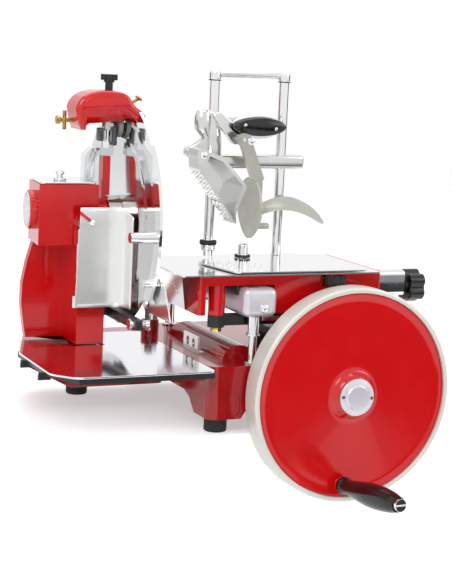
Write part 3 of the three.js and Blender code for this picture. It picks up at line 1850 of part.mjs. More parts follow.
function postBumper() {
  const bore = rod.radius + gap;
  const top = bumper.collarTop + bumper.thickness;
  const profile = [
    [bore, bumper.collarBottom],
    [bumper.collar, bumper.collarBottom],
    [bumper.collar, bumper.collarTop],
    [bumper.radius, bumper.collarTop],
    [bumper.radius, top],
    [bore, top],
    [bore, bumper.collarBottom],
  ];
  return turned("z", rod.leftX, rod.y, profile, facets.small);
}

function lockButton() {
  const seat = feedTop + gap;
  const top = seat + button.ringHeight + button.height;
  const profile = [
    [0, seat],
    [button.ring, seat],
    [button.ring, seat + button.ringHeight],
    [button.radius, seat + button.ringHeight],
    [button.radius, top - button.dome],
    [button.radius - button.dome, top],
    [0, top],
  ];
  return turned("z", button.x, button.y, profile, facets.small);
}

// Press

function pressSlider() {
  const bore = rod.radius + gap;
  const tall = (x, from, to) => cylinder("z", x, rod.y, bore, from - over, to + over, facets.small);
  const crossBar = [
    [bar.left, rod.y - bar.half],
    [bar.right, rod.y - bar.half],
    [bar.right, rod.y + bar.half],
    [bar.left, rod.y + bar.half],
  ];
  const finOutline = [
    [fin.left, fin.top],
    [rod.leftX, fin.top],
    [rod.leftX, fin.bottom],
    [claw.x + claw.lug, fin.bottom],
    [claw.x, claw.z + claw.lug],
    [fin.waist, fin.bottom + sleeve.radius * 2],
    [fin.left, fin.top - sleeve.radius * 2],
  ];
  const brow = [];
  for (let i = 0; i < facets.round; i += 1) {
    const angle = (2 * Math.PI * i) / facets.round;
    brow.push([
      grasp.x + (grasp.halfX + grasp.rim) * Math.cos(angle),
      grasp.z - grasp.rim / 2 + (grasp.halfZ + grasp.rim) * Math.sin(angle),
    ]);
  }
  const strutOutline = [
    [strut.x - strut.width, strut.z],
    [strut.x + strut.width / 2, strut.z + strut.width / 2],
    [lever.x + strut.endHalf, lever.z + strut.endHalf],
    [lever.x + strut.endHalf, lever.z - strut.endHalf],
    [lever.x - strut.endHalf, lever.z - strut.endHalf],
  ];
  const body = join(
    cylinder("z", rod.leftX, rod.y, sleeve.radius, sleeve.bottom, sleeve.top),
    prism("z", crossBar, bar.bottom, bar.top, bar.corner),
    prism("y", finOutline, fin.front, fin.back),
    cylinder("y", claw.x, claw.z, claw.lug, fin.front, fin.back, facets.small),
    box(rod.leftX, brace.right, brace.front, brace.back, brace.bottom, brace.top),
    prism("y", brow, grasp.back + gap, brace.front + over),
    prism("y", strutOutline, strut.front, fin.front + over),
  );
  const pinLength = claw.front - gap;
  return join(
    cut(body, tall(rod.leftX, bar.bottom, sleeve.top), tall(rod.rightX, bar.bottom, bar.top)),
    cylinder("y", claw.x, claw.z, claw.pin, pinLength, fin.front + over, facets.tiny),
    cylinder("y", lever.x, lever.z, lever.pin, lever.front - gap, strut.front + over, facets.tiny),
  );
}

function pressGrip() {
  const rings = [];
  const layers = [
    [grasp.back, graspShares.back],
    [grasp.back - grasp.edge, graspShares.full],
    [(grasp.front + grasp.back) / 2 - grasp.edge, graspShares.full],
    [grasp.front + grasp.edge, graspShares.shoulder],
    [grasp.front, graspShares.front],
  ];
  for (const [y, share] of layers) {
    const ring = [];
    for (let i = 0; i < facets.round; i += 1) {
      const angle = (2 * Math.PI * i) / facets.round;
      ring.push([
        grasp.x + grasp.halfX * share * Math.cos(angle),
        y,
        grasp.z + grasp.halfZ * share * Math.sin(angle),
      ]);
    }
    rings.push(ring);
  }
  return loft(rings);
}

function clawFrame() {
  const x0 = claw.x - claw.lug;
  const x1 = x0 + clawOutline.width;
  const z0 = claw.z - clawOutline.height + claw.lug;
  const z1 = claw.z + claw.lug;
  const outline = fromShares(clawShares, x0, x1, z0, z1);
  const mean = (k) => outline.reduce((sum, point) => sum + point[k], 0) / outline.length;
  const middle = [mean(0), mean(1)];
  const inset = outline.map(([x, z]) => {
    const dx = middle[0] - x;
    const dz = middle[1] - z;
    const share = (2 * claw.wall) / Math.hypot(dx, dz);
    return [x + dx * share, z + dz * share];
  });
  const body = cut(
    prism("y", outline, claw.front, claw.back, claw.wall),
    prism("y", inset, claw.front - over, claw.back - claw.wall),
  );
  const top = outline[5];
  const low = outline[4];
  const length = Math.hypot(low[0] - top[0], low[1] - top[1]);
  const out = [(low[1] - top[1]) / length, -(low[0] - top[0]) / length];
  const teeth = [];
  for (let row = 0; row < tooth.rows; row += 1) {
    const y = claw.front + ((row + toothShares.row) * (claw.back - claw.front)) / tooth.rows;
    for (let i = 0; i < tooth.count; i += 1) {
      const share = (i + toothShares.first) / (tooth.count + toothShares.ends);
      const x = top[0] + (low[0] - top[0]) * share;
      const z = top[1] + (low[1] - top[1]) * share;
      const sunk = claw.wall * toothShares.root;
      const root = [x - out[0] * sunk, y, z - out[1] * sunk];
      const point = [x + out[0] * tooth.height, y, z + out[1] * tooth.height];
      teeth.push(roundBar(root, point, tooth.radius, facets.spike, gap));
    }
  }
  const bosses = [
    cylinder("y", claw.x, claw.z, claw.lug, claw.front, claw.back, facets.small),
    ...teeth,
  ];
  const ends = [claw.front - over, claw.back + over];
  const bore = cylinder("y", claw.x, claw.z, claw.pin + gap, ...ends, facets.small);
  return cut(join(body, ...bosses), bore);
}

// A swinging plate ends in a heart-shaped disc that holds the food down.
function holdDownLever() {
  const outline = leverShares.map(([u, v]) => [lever.x + u * lever.width, lever.z + v * leverDrop]);
  const heart = [];
  for (let i = 0; i < facets.round; i += 1) {
    const angle = (2 * Math.PI * i) / facets.round;
    const narrow = Math.sin(angle) < 0 ? 1 - discPointShare * Math.sin(angle) ** 2 : 1;
    heart.push([disc.y + disc.halfY * narrow * Math.cos(angle), disc.z + disc.halfZ * Math.sin(angle)]);
  }
  const x1 = disc.x + disc.thickness;
  return cut(
    join(
      prism("y", outline, lever.front, lever.back, lever.pin),
      cylinder("y", lever.x, lever.z, lever.head + lever.pin, lever.front, lever.back, facets.small),
      prism("x", heart, disc.x, x1),
      box(disc.x, lever.x + disc.web, lever.front, lever.back, disc.z, lever.z - leverDrop + over),
    ),
    cylinder("y", lever.x, lever.z, lever.pin + gap, lever.front - over, lever.back + over, facets.small),
  );
}

// Thumb lever: a spoon, narrow at the disc and full at its tip, with its back arched upwards.
function spoonLever() {
  const rings = [];
  for (let s = 0; s <= spoonPlate.steps; s += 1) {
    const t = s / spoonPlate.steps;
    const x = spoon.startX + t * (spoon.endX - spoon.startX);
    const arch = Math.min(1, t * archShares.run + archShares.start);
    const z = spoon.z + spoon.rise * Math.sin(Math.PI * arch) - spoon.drop * t * t;
    const swell = Math.sin(Math.PI * (spoonWidthShares.start + spoonWidthShares.run * t));
    const full = spoonWidthShares.least + (1 - spoonWidthShares.least) * swell;
    const width = spoonPlate.width * full * (t > spoonWidthShares.tipFrom ? spoonWidthShares.tip : 1);
    const thick = spoonPlate.thickness / 2;
    const ring = [];
    for (let i = 0; i < facets.tiny; i += 1) {
      const angle = (2 * Math.PI * i) / facets.tiny;
      const y = width * Math.cos(angle);
      ring.push([x, spoon.y + y, z + thick * Math.sin(angle) - (y * y) / (spoonPlate.width * 3)]);
    }
    rings.push(ring);
  }
  return loft(rings);
}

// Assembly, one group for each set of pieces that moves together

piece(slicer, "base_casting", baseCasting(), redPaint);
addFeet();
piece(slicer, "adjuster_nut", adjusterNut(), chrome);
piece(slicer, "slotted_bracket", slottedPlate(), steel);
piece(slicer, "housing_casting", housingCasting(), redPaint);
piece(slicer, "housing_cap", capPlate(), chrome);
piece(slicer, "oil_cap", oilCap(), chrome);
piece(slicer, "drive_chain", driveChain(), darkSteel);
piece(slicer, "guard_arm", guardArm(), darkSteel);
piece(slicer, "deflector_pin", deflectorPin(), steel);
piece(slicer, "tray_frame", trayFrame(), black);
piece(slicer, "sharpener_stand", sharpenerStand(), chrome);
piece(slicer, "guide_post_front", frontPost(), chrome);
piece(slicer, "guide_post_rear", backPost(), chrome);
piece(slicer, "guide_bar", guideBar(), chrome);
piece(slicer, "side_rail", sideRail(), steel);

const flywheel = movingGroup("flywheel_group");
piece(flywheel, "flywheel_disc", flywheelDisc(), redPaint);
piece(flywheel, "flywheel_rim", flywheelRim(), palePaint);
piece(flywheel, "hub_cap", hubCap(), aluminium);
piece(flywheel, "main_shaft", mainShaft(), steel);
piece(flywheel, "crank_pin", crankPin(), chrome);
piece(movingGroup("grip_group", flywheel), "crank_grip", crankGrip(), black);

piece(movingGroup("crank_group"), "crank_shaft", crankShaft(), darkSteel);
piece(movingGroup("cross_group"), "cross_shaft", crossShaft(), darkSteel);

const bladeGroup = movingGroup("blade_group");
piece(bladeGroup, "blade", bladeDisc(), chrome);
piece(bladeGroup, "blade_shaft", bladeShaft(), steel);

const guardGroup = movingGroup("guard_group");
piece(guardGroup, "blade_guard", bladeGuard(), chrome);
piece(guardGroup, "lower_guard", lowerGuard(), steel);
piece(movingGroup("dial_group"), "thickness_dial", thicknessDial(), redPaint);

piece(movingGroup("deflector_group"), "slice_deflector", deflectorSheet(), steel);
piece(movingGroup("tray_group"), "receiving_tray", trayPlate(), steel);

const sharpener = movingGroup("sharpener_group");
piece(sharpener, "sharpener_cover", coverShape(), redPaint);
piece(sharpener, "sharpener_carrier", sharpenerCarrier(), steel);
piece(movingGroup("stone_group", sharpener), "grinding_stone", stoneWheel(stone.y, leftStone), abrasive);
piece(movingGroup("honing_group", sharpener), "honing_stone", stoneWheel(rearStoneY, rightStone), abrasive);
piece(movingGroup("clamp_group", sharpener), "clamp_knob", clampKnobShape(), black);
piece(movingGroup("plunger_group", sharpener), "side_plunger", plungerShape(), bronze);

const carriageGroup = movingGroup("carriage_group");
piece(carriageGroup, "carriage_casting", carriageCasting(), redPaint);
piece(carriageGroup, "meat_table", meatTable(), steel);
piece(carriageGroup, "yoke_bar", yokeBar(), black);
piece(carriageGroup, "screw_bearing", screwBearing(), chrome);
piece(movingGroup("thumb_group", carriageGroup), "thumb_wheel", thumbWheel(), black);

const knobGroup = movingGroup("knob_group", carriageGroup);
piece(knobGroup, "feed_screw", feedScrew(), steel);
piece(knobGroup, "star_knob", starKnobShape(), black);

const feedGroup = movingGroup("feed_group", carriageGroup);
piece(feedGroup, "feed_plate", feedPlate(), aluminium);
piece(feedGroup, "feed_nut", feedNutShape(), bronze);
piece(feedGroup, "post_left", feedPost(rod.leftX), chrome);
piece(feedGroup, "post_right", feedPost(rod.rightX), chrome);
piece(feedGroup, "top_bar", topBarShape(), chrome);
piece(feedGroup, "post_bumper", postBumper(), rubber);
piece(movingGroup("button_group", feedGroup), "lock_button", lockButton(), chrome);

const pressGroup = movingGroup("press_group", feedGroup);
piece(pressGroup, "press_slider", pressSlider(), aluminium);
piece(pressGroup, "press_grip", pressGrip(), black);
piece(movingGroup("claw_group", pressGroup), "claw_frame", clawFrame(), aluminium);

const leverGroup = movingGroup("lever_group", pressGroup);
piece(leverGroup, "hold_down_lever", holdDownLever(), aluminium);
piece(leverGroup, "spoon_lever", spoonLever(), aluminium);

export default slicer;
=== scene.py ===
"""Looks of a hand-cranked flywheel meat slicer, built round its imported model."""

import math

import bmesh
import bpy
from mathutils import Matrix, Vector


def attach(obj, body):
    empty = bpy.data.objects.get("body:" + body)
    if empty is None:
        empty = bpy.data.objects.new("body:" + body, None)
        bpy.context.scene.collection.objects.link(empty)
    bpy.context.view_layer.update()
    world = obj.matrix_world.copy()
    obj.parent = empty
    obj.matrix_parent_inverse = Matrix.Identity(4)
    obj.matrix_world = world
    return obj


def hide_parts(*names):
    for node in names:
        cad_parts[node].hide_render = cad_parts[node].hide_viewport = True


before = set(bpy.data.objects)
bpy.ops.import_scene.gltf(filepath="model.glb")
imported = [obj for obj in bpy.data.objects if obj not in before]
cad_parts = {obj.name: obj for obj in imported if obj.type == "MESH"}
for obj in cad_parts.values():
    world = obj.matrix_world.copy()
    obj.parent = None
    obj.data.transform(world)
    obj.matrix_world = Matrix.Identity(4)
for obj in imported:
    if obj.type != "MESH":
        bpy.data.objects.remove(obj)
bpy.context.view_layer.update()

MM = 0.001
TAU = 2 * math.pi

# Places shared with the CAD model, in millimetres
WHEEL_CENTRE = Vector((69, 0, 52))
BLADE_CENTRE = Vector((0, 58, 265.5))
POST_LEFT_X, POST_RIGHT_X, POST_Y = -73, 33, -9
PIN_START = Vector((56, -195, -70))
PIN_LINE = Vector((0.085, -1, 0.075)).normalized()
LEVER_X, LEVER_Z = -42, 383
CLAW_X, CLAW_Z = -106, 362
GRASP = Vector((-13, -32.7, 400.5))
COVER_FRONT, COVER_BACK = 33, 83
DIAL_AXIS = Vector((-0.9926, 0.1215, 0)).normalized()
DIAL_PLACE = Vector((-306.35, 58, 276))

# Directions
TO_RIGHT, TO_LEFT = (1, 0, 0), (-1, 0, 0)
TO_BACK, TO_FRONT = (0, 1, 0), (0, -1, 0)
UPWARDS = (0, 0, 1)

# A lathe shape that is closed in the middle starts and ends at this small radius.
CORE = 0.01


# Materials


def tone(code):
    """An sRGB hex colour as linear RGBA."""
    parts = [int(code[i : i + 2], 16) / 255 for i in (1, 3, 5)]
    linear = [c / 12.92 if c <= 0.04045 else ((c + 0.055) / 1.055) ** 2.4 for c in parts]
    return (*linear, 1)


def add_node(tree, kind, values=None, links=None):
    """Adds a shader node, sets its sockets and properties, and joins its inputs to other nodes' outputs."""
    node = tree.nodes.new("ShaderNode" + kind)
    for key, value in (values or {}).items():
        if isinstance(key, int) or key in node.inputs:
            node.inputs[key].default_value = value
        else:
            setattr(node, key, value)
    for key, output in (links or {}).items():
        tree.links.new(output, node.inputs[key])
    return node


def per_metre(size_mm):
    """How often a pattern of that size repeats in a metre."""
    return 1 / (size_mm * MM)


def fresh(name):
    """An empty node material with its shader, its output and the piece's own coordinates."""
    material = bpy.data.materials.new(name)
    material.use_nodes = True
    tree = material.node_tree
    tree.nodes.clear()
    shader = add_node(tree, "BsdfPrincipled")
    add_node(tree, "OutputMaterial", links={"Surface": shader.outputs["BSDF"]})
    place = add_node(tree, "TexCoord").outputs["Object"]
    return material, tree, shader, place


def blotches(tree, place, size_mm, low=0, high=1, detail=2):
    """Soft noise of that size, from one number to another."""
    cloud = add_node(tree, "TexNoise", {"Scale": per_metre(size_mm), "Detail": detail}, {"Vector": place})
    spread = {"From Min": 0.3, "From Max": 0.7, "To Min": low, "To Max": high}
    return add_node(tree, "MapRange", spread, {"Value": cloud.outputs["Fac"]}).outputs["Result"]


def radius_from(tree, place, centre, mask):
    """Distance from an axis through centre; mask is 0 along the axis."""
    offset = add_node(tree, "VectorMath", {"operation": "SUBTRACT", 1: centre * MM}, {0: place})
    flat = add_node(tree, "VectorMath", {"operation": "MULTIPLY", 1: mask}, {0: offset.outputs["Vector"]})
    length = add_node(tree, "VectorMath", {"operation": "LENGTH"}, {0: flat.outputs["Vector"]})
    return length.outputs["Value"]


def vary_colour(tree, shader, share, first, second):
    """Lets the colour drift between two close tones."""
    mix = add_node(tree, "Mix", {"data_type": "RGBA"}, {0: share})
    mix.inputs[6].default_value = tone(first)
    mix.inputs[7].default_value = tone(second)
    tree.links.new(mix.outputs[2], shader.inputs["Base Color"])


def vary_gloss(tree, shader, place, size_mm, low, high, detail=2):
    """Lets the roughness drift between two values in soft patches."""
    tree.links.new(blotches(tree, place, size_mm, low, high, detail), shader.inputs["Roughness"])


def relief(tree, shader, height, depth_mm):
    """Gives the surface a fine relief of that depth."""
    bump = add_node(tree, "Bump", {"Strength": 1.0, "Distance": depth_mm * MM}, {"Height": height})
    tree.links.new(bump.outputs["Normal"], shader.inputs["Normal"])


def gloss_enamel(name, first, second):
    """Red stove enamel on cast iron: sprayed thick and glossy, with faint orange peel in its gloss."""
    material, tree, shader, place = fresh(name)
    vary_colour(tree, shader, blotches(tree, place, 70), first, second)
    shader.inputs["IOR"].default_value = 1.48
    shader.inputs["Coat Weight"].default_value = 0.3
    shader.inputs["Coat Roughness"].default_value = 0.03
    vary_gloss(tree, shader, place, 25, 0.1, 0.16)
    # Real orange peel is 2 to 3 mm across; it is drawn 9 mm across so that it shows.
    relief(tree, shader, blotches(tree, place, 9), 0.012)
    return material


def rim_lacquer():
    """Turned aluminium rim under a warm clear lacquer: satin, with faint turning lines round the wheel."""
    material, tree, shader, place = fresh("lacquered_turned_rim")
    away = radius_from(tree, place, WHEEL_CENTRE, (1, 0, 1))
    # Real turning lines are about 0.2 mm apart; they are drawn 0.9 mm apart so that they show.
    lines = add_node(tree, "TexNoise", {"noise_dimensions": "1D", "Scale": per_metre(0.9), "Detail": 1})
    tree.links.new(away, lines.inputs["W"])
    vary_colour(tree, shader, blotches(tree, place, 60), "#ecebe3", "#e2e0d6")
    shader.inputs["Metallic"].default_value = 0.15
    vary_gloss(tree, shader, place, 30, 0.3, 0.4)
    relief(tree, shader, lines.outputs["Fac"], 0.02)
    return material


def chrome_plate():
    """Polished steel under bright chrome: mirror-like, with faint wiping marks in its gloss."""
    material, tree, shader, place = fresh("polished_chrome_plate")
    vary_colour(tree, shader, blotches(tree, place, 45), "#ecedee", "#e4e5e6")
    shader.inputs["Metallic"].default_value = 1
    vary_gloss(tree, shader, place, 18, 0.04, 0.09)
    relief(tree, shader, blotches(tree, place, 9), 0.01)
    return material


def ground_blade():
    """Ground and polished tool steel: fine rings left by the grinding wheel, round the blade's own axis."""
    material, tree, shader, place = fresh("ground_blade_steel")
    away = radius_from(tree, place, BLADE_CENTRE, (0, 1, 1))
    # Real grinding rings are 0.1 mm apart; they are drawn about eight times as coarse so that they show.
    rings = add_node(tree, "TexNoise", {"noise_dimensions": "1D", "Scale": per_metre(0.8), "Detail": 2})
    tree.links.new(away, rings.inputs["W"])
    vary_colour(tree, shader, rings.outputs["Fac"], "#d9dadb", "#cccdce")
    shader.inputs["Metallic"].default_value = 1
    vary_gloss(tree, shader, place, 40, 0.06, 0.11)
    relief(tree, shader, rings.outputs["Fac"], 0.015)
    return material


def brushed_sheet(name, stretch, first, second, rough, metal=1):
    """Brushed stainless or aluminium: fine lines, long where stretch is small, or an even satin."""
    material, tree, shader, place = fresh(name)
    along = add_node(tree, "Mapping", {"Scale": stretch}, {"Vector": place}).outputs["Vector"]
    # Real brush lines are about 0.1 mm wide; they are drawn 0.6 mm wide so that they show.
    lines = add_node(tree, "TexNoise", {"Scale": per_metre(0.6), "Detail": 2}, {"Vector": along})
    vary_colour(tree, shader, lines.outputs["Fac"], first, second)
    shader.inputs["Metallic"].default_value = metal
    spread = {"From Min": 0.3, "From Max": 0.7, "To Min": rough - 0.03, "To Max": rough + 0.05}
    gloss = add_node(tree, "MapRange", spread, {"Value": lines.outputs["Fac"]})
    tree.links.new(gloss.outputs["Result"], shader.inputs["Roughness"])
    relief(tree, shader, lines.outputs["Fac"], 0.012)
    return material


def cast_aluminium():
    """Sand-cast aluminium, belt-polished: soft satin, with the casting's slight waviness left."""
    material, tree, shader, place = fresh("polished_cast_aluminium")
    vary_colour(tree, shader, blotches(tree, place, 60), "#dededc", "#d3d3d0")
    shader.inputs["Metallic"].default_value = 0.9
    vary_gloss(tree, shader, place, 30, 0.1, 0.16)
    relief(tree, shader, blotches(tree, place, 25, detail=1), 0.05)
    return material


def tumbled_aluminium():
    """Die-cast aluminium tumbled with fine media: an even, pale grey skin with hardly any shine."""
    material, tree, shader, place = fresh("tumbled_aluminium")
    vary_colour(tree, shader, blotches(tree, place, 40), "#bdbcb4", "#b3b2aa")
    shader.inputs["Metallic"].default_value = 0.5
    vary_gloss(tree, shader, place, 15, 0.32, 0.4)
    # Real tumbling marks are about 0.3 mm across; they are drawn 1.5 mm across so that they show.
    relief(tree, shader, blotches(tree, place, 1.5), 0.004)
    return material


def machined_steel():
    """Oiled machined steel: dark, half-glossy, with a film of oil of uneven thickness."""
    material, tree, shader, place = fresh("oiled_machined_steel")
    vary_colour(tree, shader, blotches(tree, place, 8, detail=3), "#6a6a6c", "#4a4a4c")
    shader.inputs["Metallic"].default_value = 1
    vary_gloss(tree, shader, place, 5, 0.25, 0.5, 3)
    # Real tool marks are about 0.3 mm across; they are drawn 1.2 mm across so that they show.
    relief(tree, shader, blotches(tree, place, 1.2), 0.03)
    return material


def turned_brass():
    """Turned brass, slightly tarnished: warm yellow with browner patches."""
    material, tree, shader, place = fresh("tarnished_brass")
    vary_colour(tree, shader, blotches(tree, place, 5, detail=3), "#c9a25c", "#8e6a35")
    shader.inputs["Metallic"].default_value = 1
    vary_gloss(tree, shader, place, 4, 0.2, 0.4)
    # Real turning marks are about 0.2 mm across; they are drawn 0.8 mm across so that they show.
    relief(tree, shader, blotches(tree, place, 0.8), 0.01)
    return material


def black_moulding(name, rough, grain_mm, depth_mm, first, second):
    """Black moulded or painted surface; its gloss and its grain tell one from the other."""
    material, tree, shader, place = fresh(name)
    vary_colour(tree, shader, blotches(tree, place, 15, detail=3), first, second)
    shader.inputs["IOR"].default_value = 1.52
    vary_gloss(tree, shader, place, 10, rough - 0.04, rough + 0.06)
    relief(tree, shader, blotches(tree, place, grain_mm, detail=3), depth_mm)
    return material


def bonded_abrasive():
    """Vitrified abrasive: a grey mass of grit, rough and without gloss."""
    material, tree, shader, place = fresh("vitrified_abrasive")
    # Real grit is about 0.2 mm across; it is drawn 0.9 mm across so that it shows.
    grit = add_node(tree, "TexVoronoi", {"Scale": per_metre(0.9)}, {"Vector": place})
    vary_colour(tree, shader, grit.outputs["Distance"], "#77736b", "#a5a198")
    shader.inputs["Roughness"].default_value = 0.92
    relief(tree, shader, grit.outputs["Distance"], 0.2)
    return material


# How the brush lines run: long along Y, X or Z, or the same every way
ALONG_Y, ALONG_X, ALONG_Z, EVERY_WAY = (1, 0.02, 1), (0.02, 1, 1), (1, 1, 0.03), (1, 1, 1)

RED = gloss_enamel("red_stove_enamel", "#d50d13", "#dc1016")
# The base takes the same enamel in a darker red, as painted shade for the darker reflections on it.
RED_WITH_PAINTED_SHADE = gloss_enamel("red_enamel_with_painted_shade", "#a60f13", "#b01317")
RIM = rim_lacquer()
CHROME = chrome_plate()
BLADE = ground_blade()
TRAY_STEEL = brushed_sheet("polished_stainless_sheet", ALONG_Y, "#f0eff3", "#e8e7ec", 0.08)
SMALL_STEEL = brushed_sheet("brushed_stainless_fittings", ALONG_Z, "#e4e3df", "#dbdad6", 0.18)
PLATE_ALUMINIUM = brushed_sheet("polished_aluminium_plate", ALONG_X, "#f1f1f1", "#e9e9e9", 0.1)
DEFLECTOR_STEEL = brushed_sheet("satin_stainless_deflector", ALONG_Z, "#f3f3f1", "#e9e9e6", 0.2, 0.55)
HUB_ALUMINIUM = brushed_sheet("satin_anodised_hub_cap", EVERY_WAY, "#e6e3ea", "#dcd9e1", 0.26, 0.35)
CAST = cast_aluminium()
GREY_CAST = tumbled_aluminium()
DARK_STEEL = machined_steel()
BRASS = turned_brass()
# Phenolic moulding: hard, glossy black with hardly any grain.
PHENOLIC = black_moulding("phenolic_moulding", 0.16, 6, 0.01, "#0c0b0b", "#141312")
# Wrinkle-free black enamel on steel strip: satin. The same black also serves as painted shade on the
# deflector's back, in the guide slot and on the strip beside the guide bar.
BLACK_ENAMEL_AND_PAINTED_SHADE = black_moulding("black_satin_enamel_and_painted_shade", 0.34, 2, 0.02, "#121214", "#1a1a1c")
# Moulded natural rubber: matt and slightly grained.
RUBBER = black_moulding("moulded_rubber", 0.7, 0.7, 0.05, "#161616", "#222222")
STONE = bonded_abrasive()

# Body, slot and material that several pieces share
WHEEL_RED = ("flywheel", "red_enamel", RED)
PRESS_CAST = ("press", "cast_aluminium", CAST)
LEVER_CAST = ("lever", "cast_aluminium", GREY_CAST)
DIAL_RED = ("dial", "red_enamel", RED)
FEED_CHROME = ("feed", "polished_chrome", CHROME)
FEED_RUBBER = ("feed", "black_rubber", RUBBER)
COVER_RED = ("sharpener", "red_enamel", RED)
SHARPENER_BRASS = ("sharpener", "bronze", BRASS)
SHARPENER_STEEL = ("sharpener", "dark_steel", DARK_STEEL)


# Mesh helpers


def shape_piece(name, points, faces, body, slot, material, replaced=(), sharp=35):
    """A mesh in millimetres as a piece that rides on a body and may stand for CAD nodes."""
    mesh = bpy.data.meshes.new(name)
    mesh.from_pydata([tuple(p) for p in points], [], faces)
    shape = bmesh.new()
    shape.from_mesh(mesh)
    bmesh.ops.remove_doubles(shape, verts=shape.verts, dist=0.001)
    bmesh.ops.recalc_face_normals(shape, faces=shape.faces)
    for face in shape.faces:
        face.smooth = True
    bmesh.ops.scale(shape, verts=shape.verts, vec=(MM, MM, MM))
    shape.to_mesh(mesh)
    shape.free()
    mesh.set_sharp_from_angle(angle=math.radians(sharp))
    mesh.materials.append(material)
    piece = bpy.data.objects.new(name, mesh)
    bpy.context.scene.collection.objects.link(piece)
    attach(piece, body)
    if replaced:
        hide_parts(*replaced)
    return piece


def break_edges(piece, width_mm, segments, least_angle):
    """Rounds the edges that turn by more than the least angle, in degrees."""
    bevel = piece.modifiers.new("edge", "BEVEL")
    bevel.width = width_mm * MM
    bevel.segments = segments
    bevel.limit_method = "ANGLE"
    bevel.angle_limit = math.radians(least_angle)


def thicken(piece, thickness_mm):
    """Makes a wall of a surface, behind the side that its faces look to."""
    wall = piece.modifiers.new("wall", "SOLIDIFY")
    wall.thickness = thickness_mm * MM
    wall.offset = -1
    return wall


def softened(profile, radius, steps=4, closed=False):
    """Rounds the corners of an outline; each corner gives up at most radius of its sides."""
    count = len(profile)
    result = []
    for i, corner in enumerate(profile):
        here = Vector(corner)
        if not closed and i in (0, count - 1):
            result.append(tuple(here))
            continue
        before, after = Vector(profile[i - 1]) - here, Vector(profile[(i + 1) % count]) - here
        reach = min(radius, before.length * 0.48, after.length * 0.48)
        start, end = here + before.normalized() * reach, here + after.normalized() * reach
        for k in range(steps + 1):
            t = k / steps
            result.append(tuple(start * (1 - t) ** 2 + here * (2 * t * (1 - t)) + end * t * t))
    return result


def basis(axis):
    """An axis of length one and two directions square to it."""
    axis = Vector(axis).normalized()
    other = Vector(UPWARDS) if abs(axis.z) < 0.9 else Vector(TO_RIGHT)
    first = axis.cross(other).normalized()
    return axis, first, axis.cross(first)


def turned(name, centre, axis, profile, body, slot, material, replaced=(), sides=48, ring=False, sharp=35):
    """A lathe shape; profile points are (radius, distance along the axis); a ring's profile is closed."""
    axis, first, second = basis(axis)
    centre = Vector(centre)
    points, faces = [], []
    for radius, along in profile:
        for k in range(sides):
            angle = TAU * k / sides
            around = first * math.cos(angle) + second * math.sin(angle)
            points.append(centre + axis * along + around * radius)
    rows = len(profile)
    for r in range(rows if ring else rows - 1):
        a, b = r * sides, (r + 1) % rows * sides
        for k in range(sides):
            n = (k + 1) % sides
            faces.append((a + k, a + n, b + n, b + k))
    if not ring:
        faces.append(tuple(range(sides)))
        faces.append(tuple(range((rows - 1) * sides, rows * sides)))
    shape_piece(name, points, faces, body, slot, material, replaced, sharp)


def skinned(name, rings, body, slot, material, replaced=(), sharp=60):
    """A skin over rings that have the same number of points, closed at both ends."""
    count = len(rings[0])
    points = [p for ring in rings for p in ring]
    faces = [tuple(range(count)), tuple(range((len(rings) - 1) * count, len(rings) * count))]
    for r in range(len(rings) - 1):
        for k in range(count):
            n = (k + 1) % count
            faces.append((r * count + k, r * count + n, (r + 1) * count + n, (r + 1) * count + k))
    shape_piece(name, points, faces, body, slot, material, replaced, sharp)


def rounded_outline(centre, half_u, half_v, radius, steps=5):
    """A rectangle with round corners, as points in its own plane."""
    points = []
    for k, (side_u, side_v) in enumerate(((1, 1), (-1, 1), (-1, -1), (1, -1))):
        for step in range(steps + 1):
            angle = math.pi / 2 * (k + step / steps)
            points.append((
                centre[0] + side_u * (half_u - radius) + radius * math.cos(angle),
                centre[1] + side_v * (half_v - radius) + radius * math.sin(angle),
            ))
    return points


def soft_bar(name, axis, low, high, radius, end, body, slot, material, replaced=()):
    """A bar with round corners along it and softly closed ends; low and high are its two far corners."""
    run = "xyz".index(axis)
    first, second = [k for k in range(3) if k != run]
    centre = [(low[k] + high[k]) / 2 for k in (first, second)]
    half_u, half_v = (high[first] - low[first]) / 2, (high[second] - low[second]) / 2
    turns = [math.pi / 2 * k / 5 for k in range(6)]
    places = [(low[run] + end * (1 - math.sin(a)), end * (1 - math.cos(a))) for a in reversed(turns)]
    places += [(high[run] - end * (1 - math.sin(a)), end * (1 - math.cos(a))) for a in turns]
    rings = []
    for along, inset in places:
        ring = []
        corner = max(radius - inset, 0.3)
        for u, v in rounded_outline(centre, half_u - inset, half_v - inset, corner):
            point = [0, 0, 0]
            point[run], point[first], point[second] = along, u, v
            ring.append(point)
        rings.append(ring)
    skinned(name, rings, body, slot, material, replaced, 50)


def round_rod(name, start, finish, radius, body, slot, material, soft=0.4, sides=24):
    """A plain rod between two points, with softly broken ends."""
    start, finish = Vector(start), Vector(finish)
    length = (finish - start).length
    half = [(CORE, 0), (radius - soft, 0), (radius, soft)]
    profile = half + [(reach, length - along) for reach, along in reversed(half)]
    turned(name, start, finish - start, profile, body, slot, material, sides=sides)


def screw_head(name, place, axis, radius, height, body, slot, material):
    """A domed screw head with a rim, sunk 1 mm into what it holds."""
    profile = [(CORE, -1), (radius, -1), (radius, height * 0.45), (radius * 0.86, height * 0.8),
               (radius * 0.5, height * 0.97), (CORE, height)]
    turned(name, place, axis, profile, body, slot, material, sides=28)


def plate(name, outline, front, back, edge, body, slot, material):
    """A flat plate facing the front: its outline holds (x, z) points, and its edges are rounded."""
    count = len(outline)
    points = [(x, y, z) for y in (front, back) for x, z in outline]
    faces = [tuple(range(count)), tuple(range(count, 2 * count))]
    faces += [(k, (k + 1) % count, count + (k + 1) % count, count + k) for k in range(count)]
    piece = shape_piece(name, points, faces, body, slot, material, sharp=50)
    break_edges(piece, edge, 4, 50)


def oval(centre, half_u, half_v, count):
    """An ellipse as points in its own plane."""
    angles = [TAU * k / count for k in range(count)]
    return [(centre[0] + half_u * math.cos(a), centre[1] + half_v * math.sin(a)) for a in angles]


